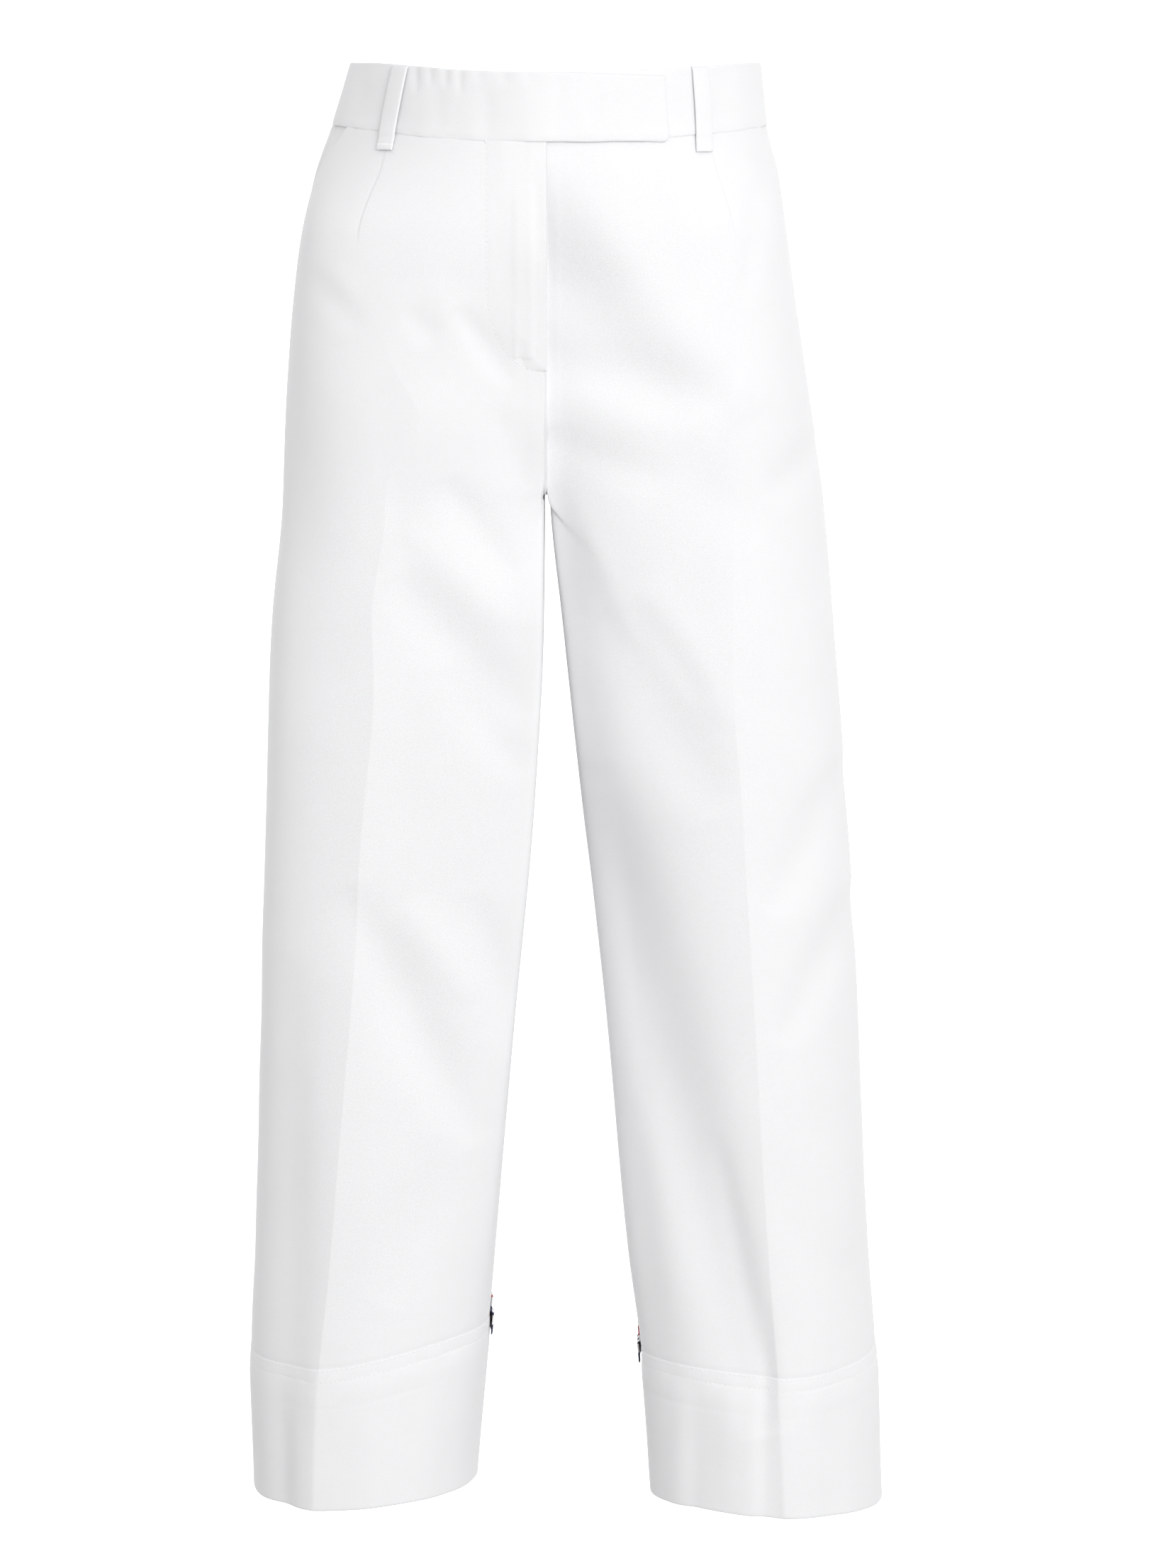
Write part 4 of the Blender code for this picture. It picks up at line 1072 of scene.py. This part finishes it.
def cuff(side):
    down = rimmed(CUFF_HEIGHT, CUFF_ROWS, CUFF_CLOTH / 2)
    down = np.unique(np.concatenate([down, np.arange(*CUFF_FINE_ROWS)]))[:, None]
    t, z, out = cuff_surface(side, leg_ring(side)[None, :], down)
    half = half_thickness(CUFF_CLOTH, down, down[-1] - down + 0 * t, kept=CUFF_FOLDED)
    half = np.where(down < CUFF_CLOTH, half_thickness(CUFF_CLOTH, down + 0 * t, kept=CUFF_SEWN), half)
    middle = out - CUFF_CLOTH / 2
    grids = [around(side, t, z, middle + turn * half) for turn in (1, -1)]
    return shell(f"cuff_twill_{side}", *grids, TWILL, ring=True)


for side in SIGN:
    piece = cuff(side)
    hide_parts(f"cuff_{side}")

# ---------------------------------------------------------------------------------------------------------
# Hem tape: a woven tape laid over the back half of each cuff seam, in small checks of white, red and navy.

TAPE_HEIGHT = 0.025
TAPE_CLOTH = 0.0010
TAPE_START = 0.04  # place behind the outseam
TAPE_OUT = 0.0003  # how far it stands off the leg
TAPE_OVER_CUFF = 0.0002  # and off the cuff
TAPE_STEP = (0.0004, 0.0034)  # heights over the cuff's seam between which it steps from one to the other
TAPE_ROWS, TAPE_COLUMNS = 24, 90
CHECK = 0.00625
RED = (0.52, 0.035, 0.045)
NAVY = (0.018, 0.024, 0.075)


def checks(add, cut):
    """The tape's colours: white over red and navy over white, in alternate columns of checks."""
    scaled = add("ShaderNodeVectorMath", {0: cut, "Scale": 1 / CHECK}, operation="SCALE")
    whole = add("ShaderNodeVectorMath", {0: scaled.outputs[0]}, operation="FLOOR")
    parts = add("ShaderNodeSeparateXYZ", {0: whole.outputs[0]})

    def odd(part):
        return add("ShaderNodeMath", {0: part, 1: 2.0}, operation="FLOORED_MODULO").outputs[0]

    def mixed(factor, first, second):
        return add("ShaderNodeMix", {0: factor, 6: first, 7: second}, data_type="RGBA").outputs[2]

    column, row = odd(parts.outputs["X"]), odd(parts.outputs["Y"])
    return mixed(column, mixed(row, (*WHITE, 1), (*RED, 1)), mixed(row, (*NAVY, 1), (*WHITE, 1)))


TAPE = woven("tape", rib_pitch=0.0006, lean=0.0, dye=checks)


def tape_out(level):
    """How far the tape stands off the leg panels at a height over the cuff's seam."""
    low, high = TAPE_STEP
    return TAPE_OUT + (CUFF_PROUD + TAPE_OVER_CUFF) * (1 - ease((level - low) / (high - low)))


def hem_tape(side):
    down = rimmed(TAPE_HEIGHT, TAPE_ROWS, TAPE_CLOTH / 2)[:, None]
    level = TAPE_HEIGHT / 2 - down
    u = TAPE_START + (1 - TAPE_START) * closing_up(TAPE_COLUMNS)[None, :]
    z = cuff_seam(side, "back", u) + level
    u = u + 0 * z
    across = (u - TAPE_START) * PANEL_WIDTH, (1 - u) * PANEL_WIDTH
    half = half_thickness(TAPE_CLOTH, *across, down, TAPE_HEIGHT - down)
    middle = tape_out(level) + TAPE_CLOTH / 2 + 0 * z
    return shell(f"tape_{side}", *layers(side, "back", u, z, middle, half), TAPE, slot="tape")


for side in SIGN:
    piece = hem_tape(side)
    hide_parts(f"hem_tape_{side}")

# ---------------------------------------------------------------------------------------------------------
# Topstitching: two rows round each cuff, the J of the fly, the tape's edges and the bar tacks, in white
# thread. Each row is a line along the cloth; the node tree below lays a stitch at every step of it.

STITCH_PITCH = 0.0032
STITCH_SIZE = (0.00130, 0.00026, 0.00022)  # half length, half width, half height
TACK_PITCH = 0.0009
TACK_SIZE = (0.00050, 0.00085, 0.00035)
TACK_HALF_WIDTH = 0.0042
TACK_ROWS = (-0.0002, 0.0002)
THREAD_FINISH = {"Base Color": (0.86, 0.86, 0.855, 1), "Roughness": 0.6, "Specular IOR Level": 0.3}
CUFF_ROW_END = 0.999  # place at which a row meets its other end, just beside the inseam
TAPE_ROW_END = 0.004  # how far from the tape's ends a row stops
TAPE_INSET = 0.0012  # a row's distance from the tape's edge
J_INSET = 0.0012
J_LIFT = 0.00002
J_TOP = 0.8  # the J starts below the waist seam at this place


def stitch_tree(material):
    """A node tree that turns lines into rows of stitches."""
    tree = bpy.data.node_groups.new("stitches", "GeometryNodeTree")
    sockets = tree.interface
    sockets.new_socket("Lines", in_out="INPUT", socket_type="NodeSocketGeometry")
    pitch = sockets.new_socket("Pitch", in_out="INPUT", socket_type="NodeSocketFloat")
    size = sockets.new_socket("Size", in_out="INPUT", socket_type="NodeSocketVector")
    sockets.new_socket("Stitches", in_out="OUTPUT", socket_type="NodeSocketGeometry")
    add = node_adder(tree)
    start = add("NodeGroupInput")
    curve = add("GeometryNodeMeshToCurve", {"Mesh": start.outputs["Lines"]})
    spaced = add(
        "GeometryNodeResampleCurve",
        {"Curve": curve.outputs[0], "Length": start.outputs["Pitch"]},
        mode="LENGTH",
    )
    out = add("GeometryNodeInputNamedAttribute", {"Name": "out"}, data_type="FLOAT_VECTOR")
    turn = add(
        "FunctionNodeAxesToRotation",
        {0: add("GeometryNodeInputTangent").outputs[0], 1: out.outputs[0]},
        primary_axis="X",
        secondary_axis="Z",
    )
    thread = add("GeometryNodeMeshUVSphere", {"Segments": 6, "Rings": 4, "Radius": 1.0})
    laid = add(
        "GeometryNodeInstanceOnPoints",
        {
            "Points": spaced.outputs[0],
            "Instance": thread.outputs[0],
            "Rotation": turn.outputs[0],
            "Scale": start.outputs["Size"],
        },
    )
    real = add("GeometryNodeRealizeInstances", {0: laid.outputs[0]})
    coloured = add("GeometryNodeSetMaterial", {"Geometry": real.outputs[0], "Material": material})
    add("NodeGroupOutput", {0: coloured.outputs[0]})
    return tree, pitch.identifier, size.identifier


def thread_material():
    """Cotton thread, a little brighter and smoother than the twill."""
    material, shader, add = new_material("thread")
    add(shader, THREAD_FINISH)
    return material


STITCHES = stitch_tree(thread_material())


def stitched(name, rows, pitch=STITCH_PITCH, size=STITCH_SIZE):
    """A piece of thread along rows, each of them points with the outward directions there."""
    counts = [len(points) for points, _ in rows]
    starts = np.cumsum([0] + counts[:-1])
    edges = [(first + i, first + i + 1) for first, count in zip(starts, counts) for i in range(count - 1)]
    mesh = bpy.data.meshes.new(name)
    mesh.from_pydata(np.concatenate([points for points, _ in rows]).tolist(), edges, [])
    out = mesh.attributes.new("out", "FLOAT_VECTOR", "POINT")
    out.data.foreach_set("vector", np.concatenate([normals for _, normals in rows]).ravel())
    piece = bpy.data.objects.new(name, mesh)
    bpy.context.scene.collection.objects.link(piece)
    tree, pitch_socket, size_socket = STITCHES
    modifier = piece.modifiers.new("stitches", "NODES")
    modifier.node_group = tree
    modifier[pitch_socket] = pitch
    modifier[size_socket] = size
    bpy.context.view_layer.update()
    laid = bpy.data.meshes.new_from_object(piece.evaluated_get(bpy.context.evaluated_depsgraph_get()))
    piece.modifiers.remove(modifier)
    piece.data = laid
    laid.shade_smooth()
    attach(piece, "root")
    return piece


def cuff_row(side, down):
    """Points of a row all round a cuff, at a distance below its top, and the outward directions there."""
    places = np.linspace(-CUFF_ROW_END, CUFF_ROW_END, 400)[None, :]
    t, z, out = cuff_surface(side, places, np.array([[down]]))
    points = around(side, t, z, out)[0]
    front, back = normal_at(side, "front", np.abs(t), z), normal_at(side, "back", np.abs(t), z)
    return points, np.where((t >= 0)[..., None], front, back)[0]


def panel_row(side, face, u, z, out):
    return cloth(side, face, u, z, out), normal_at(side, face, u, z)


def tape_row(side, level):
    u = np.linspace(TAPE_START + TAPE_ROW_END, 1 - TAPE_ROW_END, 160)
    return panel_row(side, "back", u, cuff_seam(side, "back", u) + level, tape_out(level) + TAPE_CLOTH)


def fly_row():
    """The J, a little inside the fly's sewn edge."""
    start, _, _, _, z = fly_places()
    below = z[:, 0] < waist_seam(J_TOP)
    return panel_row("right", "front", start[below, 0] + J_INSET / PANEL_WIDTH, z[below, 0], J_LIFT)


def tack_row(loop, up):
    down = np.array([1 - up / loop_span(loop)[2]])
    u, z, out = loop_surface(loop, down, np.linspace(-TACK_HALF_WIDTH, TACK_HALF_WIDTH, 12))
    return panel_row(loop.side, loop.face, u[0], z[0], out[0] + LOOP_CLOTH / 2)


for side in SIGN:
    stitched(f"stitches_cuff_{side}", [cuff_row(side, down) for down in STITCH_ROWS])
    edge = TAPE_HEIGHT / 2 - TAPE_INSET
    stitched(f"stitches_tape_{side}", [tape_row(side, level) for level in (edge, -edge)])
stitched("stitches_fly", [fly_row()])
tack_rows = [tack_row(loop, TACK_UP + above) for loop in LOOPS for above in TACK_ROWS]
stitched("bar_tacks", tack_rows, TACK_PITCH, TACK_SIZE)

# ---------------------------------------------------------------------------------------------------------
# The scene round the garment: a white cove, even studio light from above and all round, and one broad soft
# light from the front on the wearer's left.

LENS = 107.3
CAMERA_AT = (0.0274, -3.0, 0.0)
PITCH_DOWN = math.radians(8.394)
FLOOR = -1.25
COVE_BACK = 3.5
COVE_RADIUS = 1.6
COVE_HALF_WIDTH = 9.0
COVE_FRONT = -7.0
COVE_TOP = 7.0
COVE_STEPS = 17
COVE_BRIGHT = (0.2, 0.8)  # from here to here, behind the garment, the cove turns from grey to glowing white
COVE_GREY, COVE_WHITE, COVE_GLOW = 0.45, 0.90, 0.60
STUDIO_LIGHT = 0.80
LIT_POINT = (0.0, 0.0, -0.4)


def cove():
    """A floor that runs up into a wall in one bend, grey in front and glowing behind the garment."""
    turn = np.linspace(0, math.pi / 2, COVE_STEPS)
    profile = [(COVE_FRONT, FLOOR)]
    for angle in turn:
        along, up = COVE_RADIUS * math.sin(angle), COVE_RADIUS * (1 - math.cos(angle))
        profile.append((COVE_BACK + along, FLOOR + up))
    profile.append((COVE_BACK + COVE_RADIUS, COVE_TOP))
    points = [(x, y, z) for y, z in profile for x in (-COVE_HALF_WIDTH, COVE_HALF_WIDTH)]
    faces = [(2 * i, 2 * i + 1, 2 * i + 3, 2 * i + 2) for i in range(len(profile) - 1)]
    mesh = bpy.data.meshes.new("cove")
    mesh.from_pydata(points, [], faces)
    mesh.shade_smooth()
    material, shader, add = new_material("cove_white")
    parts = add("ShaderNodeSeparateXYZ", {0: add("ShaderNodeTexCoord").outputs["Object"]})
    near, far = COVE_BRIGHT
    depth = {"Value": parts.outputs["Y"], "From Min": near, "From Max": far}
    behind = add("ShaderNodeMapRange", depth).outputs[0]
    glow = add("ShaderNodeMath", {0: behind, 1: COVE_GLOW}, operation="MULTIPLY").outputs[0]
    grey = add("ShaderNodeMapRange", {"Value": behind, "To Min": COVE_GREY, "To Max": COVE_WHITE}).outputs[0]
    add(shader, {"Base Color": grey, "Emission Strength": glow, "Emission Color": (1, 1, 1, 1)})
    add(shader, {"Roughness": 1.0, "Specular IOR Level": 0.0})
    mesh.materials.append(material)
    stage = bpy.data.objects.new("cove", mesh)
    bpy.context.scene.collection.objects.link(stage)


def area_light(name, place, size, power):
    """A round soft light that is turned to the middle of the garment."""
    light = bpy.data.lights.new(name, "AREA")
    light.shape = "DISK"
    light.size = size
    light.energy = power
    lamp = bpy.data.objects.new(name, light)
    lamp.location = place
    x, y, z = np.array(LIT_POINT) - np.array(place)
    yaw = math.atan2(y, x)
    tilt = math.atan2(z, math.hypot(x, y))
    lamp.rotation_euler = (math.pi / 2 + tilt, 0, yaw - math.pi / 2)
    bpy.context.scene.collection.objects.link(lamp)


cove()
area_light("window_left", place=(1.6, -5.0, 0.8), size=2.6, power=148.0)

scene = bpy.context.scene
scene.world = bpy.data.worlds.new("studio")
scene.world.use_nodes = True
background = scene.world.node_tree.nodes["Background"]
node_adder(scene.world.node_tree)(background, {"Color": (1, 1, 1, 1), "Strength": STUDIO_LIGHT})
scene.view_settings.view_transform = "Standard"
scene.view_settings.look = "None"

camera_data = bpy.data.cameras.new("camera")
camera_data.lens = LENS
camera = bpy.data.objects.new("camera", camera_data)
camera.location = CAMERA_AT
camera.rotation_euler = (math.pi / 2 - PITCH_DOWN, 0, 0)
scene.collection.objects.link(camera)
scene.camera = camera
